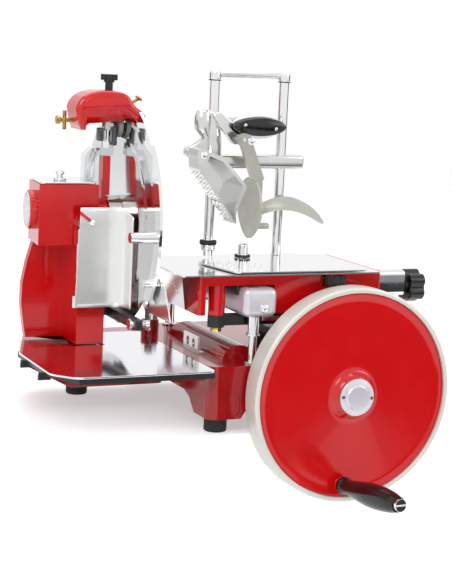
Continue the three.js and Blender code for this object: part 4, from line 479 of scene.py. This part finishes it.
def dress(node, material, edge, steps):
    """Keeps a CAD node and gives it its finish and softly broken edges."""
    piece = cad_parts[node]
    mesh = piece.data
    mesh.materials.clear()
    mesh.materials.append(material)
    if "custom_normal" in mesh.attributes:
        mesh.attributes.remove(mesh.attributes["custom_normal"])
    for polygon in mesh.polygons:
        polygon.use_smooth = True
    weld = piece.modifiers.new("weld", "WELD")
    weld.merge_threshold = 0.01 * MM
    flat = piece.modifiers.new("flat", "DECIMATE")
    flat.decimate_type = "DISSOLVE"
    flat.angle_limit = math.radians(0.6)
    break_edges(piece, edge, steps, 38)
    normals = piece.modifiers.new("normals", "WEIGHTED_NORMAL")
    normals.weight = 60


# CAD nodes that keep their shape: finish, edge radius in millimetres, steps over the edge, names

DRESSED = (
    (RED, 2.2, 3, ("housing_casting", "carriage_casting")),
    # The base casting's red is darkened as painted shade.
    (RED_WITH_PAINTED_SHADE, 2.6, 3, ("base_casting",)),
    (CHROME, 0.6, 2, ("adjuster_nut", "housing_cap", "oil_cap")),
    (CHROME, 0.6, 2, ("guide_post_front", "guide_post_rear", "sharpener_stand")),
    (CHROME, 0.7, 2, ("post_left", "post_right", "lock_button")),
    (CHROME, 0.7, 2, ("screw_bearing", "blade_guard", "crank_pin")),
    (SMALL_STEEL, 0.4, 2, ("slotted_bracket", "deflector_pin", "side_rail", "blade_shaft")),
    (SMALL_STEEL, 0.4, 2, ("lower_guard", "sharpener_carrier", "feed_screw")),
    (TRAY_STEEL, 0.5, 2, ("receiving_tray",)),
    (PLATE_ALUMINIUM, 0.4, 2, ("meat_table",)),
    (PLATE_ALUMINIUM, 0.3, 2, ("feed_plate",)),
    (CAST, 1.4, 3, ("claw_frame",)),
    (GREY_CAST, 1.4, 3, ("hold_down_lever",)),
    (DARK_STEEL, 0.3, 2, ("drive_chain", "guard_arm", "main_shaft", "crank_shaft", "cross_shaft")),
    (BRASS, 0.4, 2, ("side_plunger", "feed_nut")),
    (BLACK_ENAMEL_AND_PAINTED_SHADE, 1.0, 2, ("tray_frame",)),
    (BLACK_ENAMEL_AND_PAINTED_SHADE, 1.2, 2, ("yoke_bar",)),
    (PHENOLIC, 0.3, 2, ("thumb_wheel",)),
    (PHENOLIC, 0.5, 2, ("clamp_knob",)),
    (PHENOLIC, 1.6, 3, ("star_knob",)),
    (RUBBER, 0.8, 2, ("foot_front_left", "foot_front_right", "foot_rear_left", "foot_rear_right")),
    (STONE, 0.4, 2, ("grinding_stone", "honing_stone")),
)

for material, edge, steps, nodes in DRESSED:
    for node in nodes:
        dress(node, material, edge, steps)


# Flywheel: a dished red disc in a pale rim, with a hub cap, its two screws and the seat of the crank pin


def flywheel():
    """Profiles of the disc, rim and cap are measured from the wheel's axis and from the plane y = 0."""
    disc = [(10.3, -203), (25.5, -203), (29, -199.5), (33, -193.8), (38, -192.5), (129, -192.5),
            (134, -193.6), (138.4, -195), (140, -194.2), (140, -182.4), (130, -187), (29, -187),
            (29, -163.3), (10.3, -163.3)]
    turned("wheel_disc", WHEEL_CENTRE, TO_BACK, softened(disc, 2.2, 3, True), *WHEEL_RED,
           replaced=("flywheel_disc",), sides=144, ring=True)
    rim = [(140.4, -197.8), (145, -198), (147, -196), (147, -165), (145, -163), (133.8, -163),
           (133.8, -181.6), (140.4, -181.8)]
    turned("wheel_rim", WHEEL_CENTRE, TO_BACK, softened(rim, 1.6, 4, True), "flywheel", "pale_rim", RIM,
           replaced=("flywheel_rim",), sides=144, ring=True)
    cap = [(CORE, 209.4), (15.4, 209.4), (16.6, 208.6), (17.4, 207.4), (19, 207.2), (25, 205.9),
           (25.5, 205.2), (25.5, 203.3), (CORE, 203.3)]
    turned("wheel_hub_cap", WHEEL_CENTRE, TO_FRONT, softened(cap, 0.7, 3), "flywheel", "cast_aluminium",
           HUB_ALUMINIUM, replaced=("hub_cap",), sides=72)
    screw = [(CORE, -1), (2.3, -1), (2.3, 0.9), (1.6, 1.7), (CORE, 1.9)]
    for side, end in (("left", -1), ("right", 1)):
        place = WHEEL_CENTRE + Vector((21.4 * end, -206, -1.5 * end))
        turned(f"hub_screw_{side}", place, TO_FRONT, screw, "flywheel", "dark_steel", DARK_STEEL, sides=20)


def crank_grip():
    """A red seat on the wheel and a waisted black grip, both along the line of the crank pin."""
    seat = [(5.6, 0.5), (10.5, 0.5), (9.5, 4), (9.2, 7.8), (5.6, 7.8)]
    turned("grip_seat", PIN_START, PIN_LINE, softened(seat, 0.8, 3, True), *WHEEL_RED, sides=40, ring=True)
    bore, start, end = 5.4, 8.4, 136.2
    outside = [(12, start), (12.4, 10), (12.2, 13.2), (10.8, 15.2), (9.9, 19), (10.2, 26), (11.6, 36),
               (13.6, 50), (15.4, 64), (16.4, 78), (16.5, 90), (15.8, 104), (14.6, 116), (12.9, 127),
               (11.2, 133), (10.4, end)]
    profile = [(bore, start), *softened(outside, 6, 4), (bore, end)]
    turned("grip_moulding", PIN_START, PIN_LINE, profile, "grip", "black_grip", PHENOLIC,
           replaced=("crank_grip",), sides=56, ring=True)


flywheel()
crank_grip()


# Blade: a dished disc with a raised ring near its ground edge


def round_blade():
    """The profile runs from the bore out over the left face, round the cutting edge and back."""
    profile = [(9.4, -186), (108, -186), (113, -185.2), (116, -184.5), (136.5, -184.2), (137.5, -184.1),
               (149.6, -183.2), (150, -182.9), (149.6, -182.6), (112, -182.5), (109, -183.6), (9.4, -183.6)]
    turned("round_blade", BLADE_CENTRE, TO_RIGHT, softened(profile, 0.8, 3, True), "cutter",
           "polished_chrome", BLADE, replaced=("blade",), sides=200, ring=True, sharp=12)


round_blade()


# Press slider: a sleeve on the left post, a waisted lobe beside it, a cross bar and the grip's bracket


def press_lobe():
    """Level sections, each with its height, middle, half width and half depth."""
    sections = ((421, -88.6, 6, 4.5), (420.2, -88.6, 8.8, 7), (417, -88.4, 11.2, 9), (410, -88.5, 12.6, 10),
                (402, -88.4, 12.6, 10.2), (395, -88, 12, 10), (388, -85.4, 10, 9.4), (381, -81.2, 7.6, 9),
                (372, -78, 6, 9), (362, -76.6, 6.4, 9.4), (356, -76.6, 6.6, 9.6), (354, -76.6, 6, 8.6))
    rings = []
    for z, x, half_x, half_y in sections:
        rings.append([(u, v, z) for u, v in oval((x, POST_Y), half_x, half_y, 40)])
    skinned("press_lobe", rings, *PRESS_CAST)


def press_slider():
    """The sleeve stands for the CAD's slider, and the other castings are joined to it."""
    bore, foot, top = 7.65, 352, 418
    sleeve = [(bore, foot), (13, foot), (13, 374), (12.2, 386), (9.8, 404), (9.4, top), (bore, top)]
    turned("press_sleeve", (POST_LEFT_X, POST_Y, 0), UPWARDS, softened(sleeve, 3, 5, True), *PRESS_CAST,
           replaced=("press_slider",), sides=64, ring=True)
    press_lobe()
    soft_bar("press_crossbar", "x", (-66, -19, 341), (66, 1, 360), 4, 4, *PRESS_CAST)
    soft_bar("grip_bracket", "x", (-73, -21, 395), (8, -15, 413), 2.4, 1, *PRESS_CAST)


def grip_rim():
    """The oval casting behind the black grip, with rounded edges."""
    middle, half_x, half_z = (GRASP.x, GRASP.z - 1.25), 42, 16
    rings = []
    for y, inset in ((-25.2, 2), (-24.6, 0.6), (-23, 0), (-19, 0), (-17.4, 0.6), (-16.8, 2)):
        rings.append([(u, y, v) for u, v in oval(middle, half_x - inset, half_z - inset, 56)])
    skinned("grip_rim", rings, *PRESS_CAST)


def press_arms():
    """A strut down to the lever's pivot and an arm out to the claw's, each with its pivot rod."""
    eye = 8
    strut = [(-81, 415), (-67.5, 419.5), (LEVER_X + eye, LEVER_Z + eye), (LEVER_X + eye, LEVER_Z - eye),
             (LEVER_X - eye, LEVER_Z - eye)]
    plate("press_strut", softened(strut, 5, 4, True), -25.2, -17.3, 1.6, *PRESS_CAST)
    arm = [(-73, 355), (-98, 354), (-114, 356), (-114, 369), (-104, 371), (-86, 384), (-73, 384)]
    plate("claw_hinge_arm", softened(arm, 5, 4, True), -17, -3, 2, *PRESS_CAST)
    round_rod("claw_pivot", (CLAW_X, -58.3, CLAW_Z), (CLAW_X, -16, CLAW_Z), 3.2, *PRESS_CAST)
    round_rod("lever_pivot", (LEVER_X, -48.3, LEVER_Z), (LEVER_X, -24, LEVER_Z), 3.2, *PRESS_CAST)


def press_grip():
    """A domed black oval with two rivets; each section has its y and its share of the full size."""
    half_x, half_z = 39.5, 13.5
    rings = []
    for y, share in ((-25.6, 0.86), (-26.6, 0.96), (-29, 1), (-33, 0.995), (-36.5, 0.95), (-39, 0.86),
                     (-39.9, 0.74)):
        half_u, half_v = half_x - half_z * (1 - share), half_z * share
        rings.append([(u, y, v) for u, v in oval((GRASP.x, GRASP.z), half_u, half_v, 56)])
    skinned("press_grip_moulding", rings, "press", "black_grip", PHENOLIC, ("press_grip",), 50)
    rivet = [(CORE, -1.5), (2.6, -1.5), (2.6, 0.4), (2.0, 1.0), (CORE, 1.3)]
    for side, x, z in (("left", -37.5, 402.5), ("right", 9.5, 398)):
        turned(f"grip_rivet_{side}", (x, -39.4, z), TO_FRONT, rivet, "press", "polished_chrome", CHROME,
               sides=20)


press_slider()
grip_rim()
press_arms()
press_grip()


# Thumb lever: a long spoon, tilted so that its hollow faces the hand

SPOON_TILT = math.radians(40)
SPOON_START, SPOON_LENGTH, SPOON_Y = -19.7, 111.7, -36
SPOON_HALF_WIDTH, SPOON_HOLLOW = 15, 4.2
SPOON_UPPER, SPOON_LOWER = 1.7, 1.3
# The share of the length where the round tip starts, and the share that the tip takes
TIP_START, TIP_SHARE = 0.84, 0.162


def spoon_section(t, sides=28):
    """One closed section at share t of the length; it's hollow across and narrows towards both ends."""
    ridge = 274 + 20 * math.sin(math.pi * min(1, t * 0.92 + 0.08)) - 6 * t * t
    full = 0.42 + 0.58 * math.sin(math.pi * (0.04 + 0.62 * t))
    if t > TIP_START:
        full *= math.sqrt(max(0.02, 1 - ((t - TIP_START) / TIP_SHARE) ** 2))
    ring = []
    for k in range(sides):
        angle = TAU * k / sides
        across = SPOON_HALF_WIDTH * full * math.cos(angle)
        through = (SPOON_UPPER if math.sin(angle) > 0 else SPOON_LOWER) * math.sin(angle)
        through += SPOON_HOLLOW * full * (math.cos(angle) ** 2 - 0.4)
        ring.append((
            SPOON_START + t * SPOON_LENGTH,
            SPOON_Y + across * math.cos(SPOON_TILT) - through * math.sin(SPOON_TILT),
            ridge + across * math.sin(SPOON_TILT) + through * math.cos(SPOON_TILT),
        ))
    return ring


skinned("thumb_spoon", [spoon_section(k / 26) for k in range(27)], *LEVER_CAST, replaced=("spoon_lever",))
soft_bar("spoon_stop", "x", (-14, -44, 259), (4, -30, 267), 3, 1, *LEVER_CAST)


# Slice deflector: a satin sheet that curves from the hinge pin towards the blade; its back is black, as
# painted shade that the blade's mirror shows

SHEET_LEFT, SHEET_BEND, SHEET_FACE = -265, -225, 5.2
SHEET_FOOT, SHEET_TOP = 147, 284.5
# The left side steps out into a low tongue, and the top right corner falls away.
TONGUE_X, TONGUE_TOP = -258, 163
CORNER_X, CORNER_FALL = -199, 12


def deflector_plan():
    """The sheet seen from above: flat from its left edge, then one smooth bend towards the front."""
    bend = [(SHEET_BEND, SHEET_FACE), (-202, SHEET_FACE), (-192.5, 2), (-189.5, -22)]
    flat_steps, bend_steps = 10, 18
    flat = SHEET_BEND - SHEET_LEFT
    plan = [(SHEET_LEFT + flat * k / flat_steps, SHEET_FACE) for k in range(flat_steps)]
    for k in range(bend_steps + 1):
        t = k / bend_steps
        shares = ((1 - t) ** 3, 3 * t * (1 - t) ** 2, 3 * t * t * (1 - t), t ** 3)
        plan.append(tuple(sum(s * p[i] for s, p in zip(shares, bend)) for i in range(2)))
    return plan


def deflector_sheet():
    """A grid over the plan, as high as the real sheet at each place, then thickened."""
    plan = deflector_plan()
    rows = 24
    points, faces = [], []
    for x, y in plan:
        top = TONGUE_TOP if x < TONGUE_X else SHEET_TOP
        if x > CORNER_X:
            top = SHEET_TOP - CORNER_FALL * ((x - CORNER_X) / 10) ** 2
        for row in range(rows + 1):
            points.append((x, y, SHEET_FOOT + (top - SHEET_FOOT) * row / rows))
    for column in range(len(plan) - 1):
        for row in range(rows):
            a, b = column * (rows + 1) + row, (column + 1) * (rows + 1) + row
            faces.append((a, a + 1, b + 1, b))
    piece = shape_piece("curved_deflector", points, faces, "deflector", "stainless", BLACK_ENAMEL_AND_PAINTED_SHADE,
                        ("slice_deflector",), 60)
    # The faces look to the back, which takes the black as painted shade; the front and the edges take the
    # second material.
    piece.data.materials.append(DEFLECTOR_STEEL)
    wall = thicken(piece, 1.6)
    wall.material_offset = 1
    wall.material_offset_rim = 1


def deflector_fittings():
    """The rolled knuckle round the hinge pin, and a red latch lever with a chrome ball."""
    knuckle = [(3.8, 0), (5.6, 0), (5.6, 76), (3.8, 76)]
    turned("deflector_knuckle", (-252, 14.1, 178), UPWARDS, knuckle, "deflector", "stainless", SMALL_STEEL,
           sides=32, ring=True)
    round_rod("latch_lever", (-258, 2.6, 277.5), (-242.5, 2.4, 266), 2.2, "deflector", "red_enamel", RED)
    radius, steps = 4.4, 12
    angles = [math.pi * k / steps for k in range(steps + 1)]
    ball = [(max(CORE, radius * math.sin(a)), -radius * math.cos(a)) for a in angles]
    turned("latch_ball", (-240.5, 1.4, 264.2), TO_RIGHT, ball, "deflector", "polished_chrome", CHROME,
           sides=28)


deflector_sheet()
deflector_fittings()


# Thickness dial: a fluted red drum with a pale face, square on the leaning wall


def dial_drum():
    """Rings of points whose radius swells and falls for each of the 36 flutes."""
    flutes, sides = 36, 180
    axis, first, second = basis(DIAL_AXIS)
    rings = []
    for along, radius, depth in ((-1.2, 25.8, 0), (-0.4, 26.6, 0.2), (0.6, 26.9, 0.7), (7.6, 26.9, 0.7),
                                 (8.6, 26.6, 0.2), (9.2, 25.8, 0)):
        ring = []
        for k in range(sides):
            angle = TAU * k / sides
            reach = radius - depth * (0.5 + 0.5 * math.cos(flutes * angle))
            around = first * math.cos(angle) + second * math.sin(angle)
            ring.append(DIAL_PLACE + axis * along + around * reach)
        rings.append(ring)
    skinned("dial_drum", rings, *DIAL_RED, ("thickness_dial",), 50)


def dial_face():
    """A pale disc with twelve plain marks and a screw in the middle."""
    face_top, marks, mark_start, mark_end = 10.6, 12, 19.5, 22.8
    face = [(CORE, 9.25), (24.6, 9.25), (24.6, 10), (23.8, face_top), (CORE, face_top)]
    turned("dial_face", DIAL_PLACE, DIAL_AXIS, face, "dial", "cast_aluminium", HUB_ALUMINIUM, sides=64)
    axis, first, second = basis(DIAL_AXIS)
    middle = DIAL_PLACE + axis * 10.5
    for mark in range(marks):
        angle = TAU * mark / marks
        out = first * math.cos(angle) + second * math.sin(angle)
        round_rod(f"dial_mark_{mark}", middle + out * mark_start, middle + out * mark_end, 0.4, "dial",
                  "dark_steel", DARK_STEEL, soft=0.1, sides=8)
    screw_head("dial_screw", DIAL_PLACE + axis * face_top, axis, 3.2, 1.2, "dial", "polished_chrome",
               CHROME)


dial_drum()
dial_face()


# Guide bar with its rounded head and bolt, and its slot as a thin black strip of painted shade

soft_bar("guide_bar_casting", "y", (-81, -156, 156), (-32, 150, 195), 9, 8, "root", "polished_chrome",
         HUB_ALUMINIUM, ("guide_bar",))
screw_head("guide_bolt", (-52, -155.6, 168), TO_FRONT, 6, 4.5, "root", "polished_chrome", CHROME)
# The slot is drawn as a thin black strip on top of the bar: painted shade for its depth.
soft_bar("guide_slot_painted_shade", "x", (-72, -146, 194.4), (-56, -142, 195.3), 0.4, 0.3, "root", "black_enamel",
         BLACK_ENAMEL_AND_PAINTED_SHADE)


# Painted shade: a black strip on the carriage along the left of the guide bar, standing in for the shade
# there

soft_bar("painted_shade_strip", "y", (-85, -138, 184), (-81.8, 20, 206), 1.2, 1, "carriage", "black_enamel",
         BLACK_ENAMEL_AND_PAINTED_SHADE)


# Press frame: top bar with a cap and a joint ring on each post, bumper in two parts, pivot screws


def top_bar():
    """The bar reaches past the posts; each post has a chrome cap with a thin rubber ring at its foot."""
    half_depth, reach, foot, top = 5, 7, 466, 474
    soft_bar("top_bar_casting", "x", (POST_LEFT_X - reach, POST_Y - half_depth, foot),
             (POST_RIGHT_X + reach, POST_Y + half_depth, top), 3.6, 3, "feed", "polished_chrome", CAST,
             ("top_bar",))
    cap = softened([(CORE, 0), (8.6, 0), (8.6, 13.4), (CORE, 13.4)], 2.5, 4)
    joint = [(7, 0), (8.9, 0), (8.9, 0.9), (7, 0.9)]
    for side, x in (("left", POST_LEFT_X), ("right", POST_RIGHT_X)):
        turned(f"bar_end_{side}", (x, POST_Y, 461.6), UPWARDS, cap, *FEED_CHROME)
        turned(f"joint_ring_{side}", (x, POST_Y, 461.3), UPWARDS, joint, *FEED_RUBBER, sides=36, ring=True)


def post_bumper():
    """A rubber ring on a chrome collar at the foot of the left post."""
    ring = softened([(7.5, 0), (12, 0), (12, 5.8), (7.5, 5.8)], 1.2, 3, True)
    turned("bumper_ring", (POST_LEFT_X, POST_Y, 234.2), UPWARDS, ring, *FEED_RUBBER,
           replaced=("post_bumper",), ring=True)
    collar = softened([(7.5, 0), (9.6, 0), (11, 3), (11, 8.4), (7.5, 8.4)], 0.8, 3, True)
    turned("bumper_collar", (POST_LEFT_X, POST_Y, 225.6), UPWARDS, collar, *FEED_CHROME, ring=True)


top_bar()
post_bumper()
turned("button_ring", (-30, -32, 219), UPWARDS, [(8, 0), (11, 0), (11, 3.4), (8, 3.4)], "button",
       "black_rubber", RUBBER, sides=36, ring=True)
screw_head("lever_pivot_screw", (LEVER_X, -70.2, LEVER_Z), TO_FRONT, 5, 1.6, "lever", "polished_chrome",
           CHROME)
screw_head("claw_pivot_screw", (CLAW_X, -58.2, CLAW_Z), TO_FRONT, 5, 1.8, "claw", "polished_chrome", CHROME)


# Sharpener cover: an arched hood with a raised panel in front; outlines hold (x, z) points

COVER_ARCH = [(-256.8, 417.1), (-254.2, 424.5), (-247.6, 432.3), (-236.4, 438.0), (-222.7, 441.2),
              (-206.6, 441.6), (-190.2, 439.2), (-180.7, 434.9), (-175.7, 426.5), (-170.2, 420.2),
              (-161.2, 414.5), (-155.4, 407.8), (-155.1, 401.2)]
COVER_UNDER = [(-167.7, 401.0), (-179.6, 404.2), (-188.3, 404.0), (-190.0, 400.6), (-239.3, 396.1),
               (-242.6, 393.6), (-243.6, 387.3), (-249.3, 387.2), (-252.2, 395.5), (-254.8, 406.3)]
PANEL = [(-247.6, 417.6), (-245.9, 427.6), (-237.5, 432.1), (-182.4, 433.8), (-177.5, 420.8)]


def cover_hood():
    """A wall follows the arch and the left side between two faces; it's open below, like a pressed hood."""
    arch = softened(COVER_ARCH, 3, 3)
    outline = arch + COVER_UNDER
    count = len(outline)
    # The wall's last three sides, from the lowest point on the left back up to the arch
    left_side = 3
    points = [(x, y, z) for y in (COVER_FRONT, COVER_BACK) for x, z in outline]
    faces = [tuple(range(count)), tuple(reversed(range(count, 2 * count)))]
    for k in range(count):
        after = (k + 1) % count
        if k < len(arch) - 1 or k >= count - left_side:
            faces.append((after, k, count + k, count + after))
    piece = shape_piece("cover_hood", points, faces, *COVER_RED, ("sharpener_cover",), 50)
    break_edges(piece, 7, 5, 60)
    thicken(piece, 2.4)


def cover_panel():
    """The raised panel shrinks a little towards its front, so that its edge is rounded."""
    corners = [Vector(p) for p in PANEL]
    middle = sum(corners, Vector((0, 0))) / len(corners)
    rings = []
    for inset, y in ((0, 33.4), (0.2, 32.4), (1.2, 31.6), (2.6, 31.4)):
        shrunk = [tuple(c + (middle - c).normalized() * inset) for c in corners]
        rings.append([(u, y, v) for u, v in softened(shrunk, 4, 5, True)])
    skinned("cover_panel", rings, *COVER_RED, sharp=40)


def wing_screw():
    """A brass stem that leans out of the cover's right end, with two round wings."""
    round_rod("wing_screw_stem", (-171, 58, 424), (-159, 58, 430), 2.2, *SHARPENER_BRASS)
    wing = [(CORE, -1.2), (3.4, -1.2), (4, 0), (3.4, 1.2), (CORE, 1.2)]
    for side, end in (("front", -1), ("rear", 1)):
        turned(f"wing_{side}", (-158.5, 58 + end * 3.6, 431 + 0.6 * end), (0.6, 0.2, 0.77), wing,
               *SHARPENER_BRASS, sides=24)


cover_hood()
cover_panel()
wing_screw()


# Sharpener arms: one for each stone, a bracket to the left of both and a rod under the cover

soft_bar("stone_arm_left", "z", (-201, 40, 366), (-194.6, 50, 392), 2.4, 2, *SHARPENER_STEEL)
soft_bar("stone_arm_right", "z", (-172.4, 41, 368), (-165, 51, 392), 2.4, 2, "sharpener", "black_enamel",
         BLACK_ENAMEL_AND_PAINTED_SHADE)
soft_bar("wheel_bracket", "z", (-222, 40, 372), (-214, 52, 390), 2, 2, *SHARPENER_STEEL)
round_rod("wheel_rod", (-186, 44, 399.5), (-162, 44, 400.5), 3, "sharpener", "polished_chrome", CHROME)


# Small fittings: tray screws, yoke nut, link plate

for side, y in (("front", -100), ("rear", -22)):
    screw_head(f"tray_screw_{side}", (-346.2, y, 78.5), TO_LEFT, 5.2, 3.4, "root", "polished_chrome",
               CHROME)
turned("yoke_nut", (-105.2, -120, 132.8), UPWARDS, [(CORE, 0), (7, 0), (7.6, 0.8), (7.6, 6), (CORE, 6)],
       "carriage", "bronze", BRASS, sides=6)
soft_bar("link_plate", "x", (-44, -134.2, 146.5), (-9, -131.6, 154), 1.2, 0.6, "carriage", "stainless",
         SMALL_STEEL)
screw_head("link_bolt", (-16, -134.2, 150.2), TO_FRONT, 3, 1.8, "carriage", "dark_steel", DARK_STEEL)


# Stage: a white bench that drops to a floor in front, and cloths to the sides; sizes in metres


def stage_card(name, corners, material, unseen=False):
    """A flat card; an unseen one shows in gloss and chrome only."""
    mesh = bpy.data.meshes.new(name)
    mesh.from_pydata(corners, [], [tuple(range(len(corners)))])
    mesh.materials.append(material)
    card = bpy.data.objects.new(name, mesh)
    bpy.context.scene.collection.objects.link(card)
    if unseen:
        card.visible_camera = card.visible_diffuse = card.visible_shadow = False


def upright(start, end, low, high):
    """Corners of a card that stands between two places of the plan."""
    return [(*start, low), (*end, low), (*end, high), (*start, high)]


def seen_share(tree):
    """1 for rays from the camera, from a mirror or through glass, and 0 for the light in the room."""
    rays = add_node(tree, "LightPath").outputs
    most = {"operation": "MAXIMUM"}
    seen = add_node(tree, "Math", most, {0: rays["Is Camera Ray"], 1: rays["Is Glossy Ray"]})
    return add_node(tree, "Math", most, {0: seen.outputs[0], 1: rays["Is Transmission Ray"]}).outputs[0]


def white_paper():
    """White paper sweep: bright to the camera and to mirrors, and still shaded by the machine."""
    material, tree, shader, _ = fresh("white_paper_sweep")
    shader.inputs["Base Color"].default_value = tone("#f2f2f2")
    shader.inputs["Roughness"].default_value = 0.9
    shader.inputs["Emission Color"].default_value = tone("#ffffff")
    glow = add_node(tree, "Math", {"operation": "MULTIPLY", 1: 0.45}, {0: seen_share(tree)})
    tree.links.new(glow.outputs[0], shader.inputs["Emission Strength"])
    return material


def studio_cloth(name, code):
    """Dull studio cloth that only reflections see."""
    material, _, shader, _ = fresh(name)
    shader.inputs["Base Color"].default_value = tone(code)
    shader.inputs["Roughness"].default_value = 1
    return material


PAPER = white_paper()
DARK_CLOTH = studio_cloth("dark_studio_cloth", "#3c3c3e")
PALE_CLOTH = studio_cloth("pale_studio_cloth", "#a8a8aa")

HALF_WIDTH, BENCH_EDGE, BENCH_END, FLOOR_END = 3, -0.16, 3, -4
FLOOR, CLOTH_FOOT, CLOTH_TOP, PALE_FROM = -0.72, -0.71, 0.6, -0.2


def level(front, back, height):
    """Corners of a card that lies flat and is as wide as the stage."""
    return [(-HALF_WIDTH, front, height), (HALF_WIDTH, front, height), (HALF_WIDTH, back, height),
            (-HALF_WIDTH, back, height)]


stage_card("bench_top", level(BENCH_EDGE, BENCH_END, 0), PAPER)
stage_card("bench_front", upright((-HALF_WIDTH, BENCH_EDGE), (HALF_WIDTH, BENCH_EDGE), FLOOR, 0), PAPER)
stage_card("floor", level(FLOOR_END, BENCH_EDGE, FLOOR), PAPER)

# Cloths to the right of the camera and at the far left, which only gloss and chrome show, give the
# metal its darker bands.
for name, start, end, foot, top, cloth in (
    ("dark_cloth", (0.3, -2.6), (2.6, -2.4), CLOTH_FOOT, PALE_FROM, DARK_CLOTH),
    ("pale_cloth", (0.3, -2.6), (2.6, -2.4), PALE_FROM, 0, PALE_CLOTH),
    ("right_cloth", (2.3, -0.8), (2.3, 0.45), CLOTH_FOOT, CLOTH_TOP, DARK_CLOTH),
    ("left_cloth", (-1.75, 1.8), (-2.35, 0.9), CLOTH_FOOT, CLOTH_TOP, DARK_CLOTH),
):
    stage_card(name, upright(start, end, foot, top), cloth, unseen=True)


# World: white behind everything, and a softer white for the light that it gives the room


def white_room():
    """Two plain backgrounds, mixed by who looks at them."""
    world = bpy.data.worlds.new("studio")
    bpy.context.scene.world = world
    world.use_nodes = True
    sky = world.node_tree
    sky.nodes.clear()
    room = add_node(sky, "Background", {"Color": tone("#ffffff"), "Strength": 0.55})
    backdrop = add_node(sky, "Background", {"Color": tone("#ffffff"), "Strength": 1.0})
    shares = {0: seen_share(sky), 1: room.outputs[0], 2: backdrop.outputs[0]}
    mixed = add_node(sky, "MixShader", links=shares)
    add_node(sky, "OutputWorld", links={"Surface": mixed.outputs[0]})


white_room()


# Lights: three soft boxes; places and sizes in metres, power in watts


def soft_box(name, place, target, size, power):
    """A rectangular lamp that looks at its target."""
    light = bpy.data.lights.new(name, "AREA")
    light.shape = "RECTANGLE"
    light.size, light.size_y = size
    light.energy = power
    lamp = bpy.data.objects.new(name, light)
    bpy.context.scene.collection.objects.link(lamp)
    lamp.location = place
    lamp.rotation_euler = (Vector(target) - Vector(place)).to_track_quat("-Z", "Y").to_euler()


soft_box("key_light", (-1.5, -1.9, 1.9), (-0.05, 0, 0.2), (1.2, 1.2), 26)
soft_box("fill_light", (1.9, -1.6, 1.2), (0, 0, 0.2), (1.0, 1.4), 12)
soft_box("top_light", (0.1, 0.4, 2.3), (0, 0, 0.2), (1.6, 1.6), 16)


# Camera, as read from the photo: place in metres, angles in degrees, focal length in pixels

CAMERA_PLACE = (-0.9582, -2.0208, 0.5236)
CAMERA_TURN, CAMERA_LIFT, CAMERA_ROLL = -24.487, 9.198, 2.63
FOCAL_PIXELS, PHOTO_HEIGHT, SENSOR_MM = 1586, 584, 36


def photo_camera():
    """A camera that looks the way the photo's did."""
    camera = bpy.data.objects.new("camera", bpy.data.cameras.new("camera"))
    bpy.context.scene.collection.objects.link(camera)
    bpy.context.scene.camera = camera
    turn, lift, roll = (math.radians(a) for a in (CAMERA_TURN, CAMERA_LIFT, CAMERA_ROLL))
    back = Vector((math.sin(turn) * math.cos(lift), -math.cos(turn) * math.cos(lift), math.sin(lift)))
    right = Vector((math.cos(turn), math.sin(turn), 0))
    up = back.cross(right)
    tilted_right = right * math.cos(roll) + up * math.sin(roll)
    tilted_up = up * math.cos(roll) - right * math.sin(roll)
    pose = Matrix((tilted_right, tilted_up, back)).transposed().to_4x4()
    camera.matrix_world = Matrix.Translation(CAMERA_PLACE) @ pose
    camera.data.lens = SENSOR_MM * FOCAL_PIXELS / PHOTO_HEIGHT
    camera.data.clip_start = 0.05
    camera.data.clip_end = 50


photo_camera()
bpy.context.scene.view_settings.view_transform = "Standard"
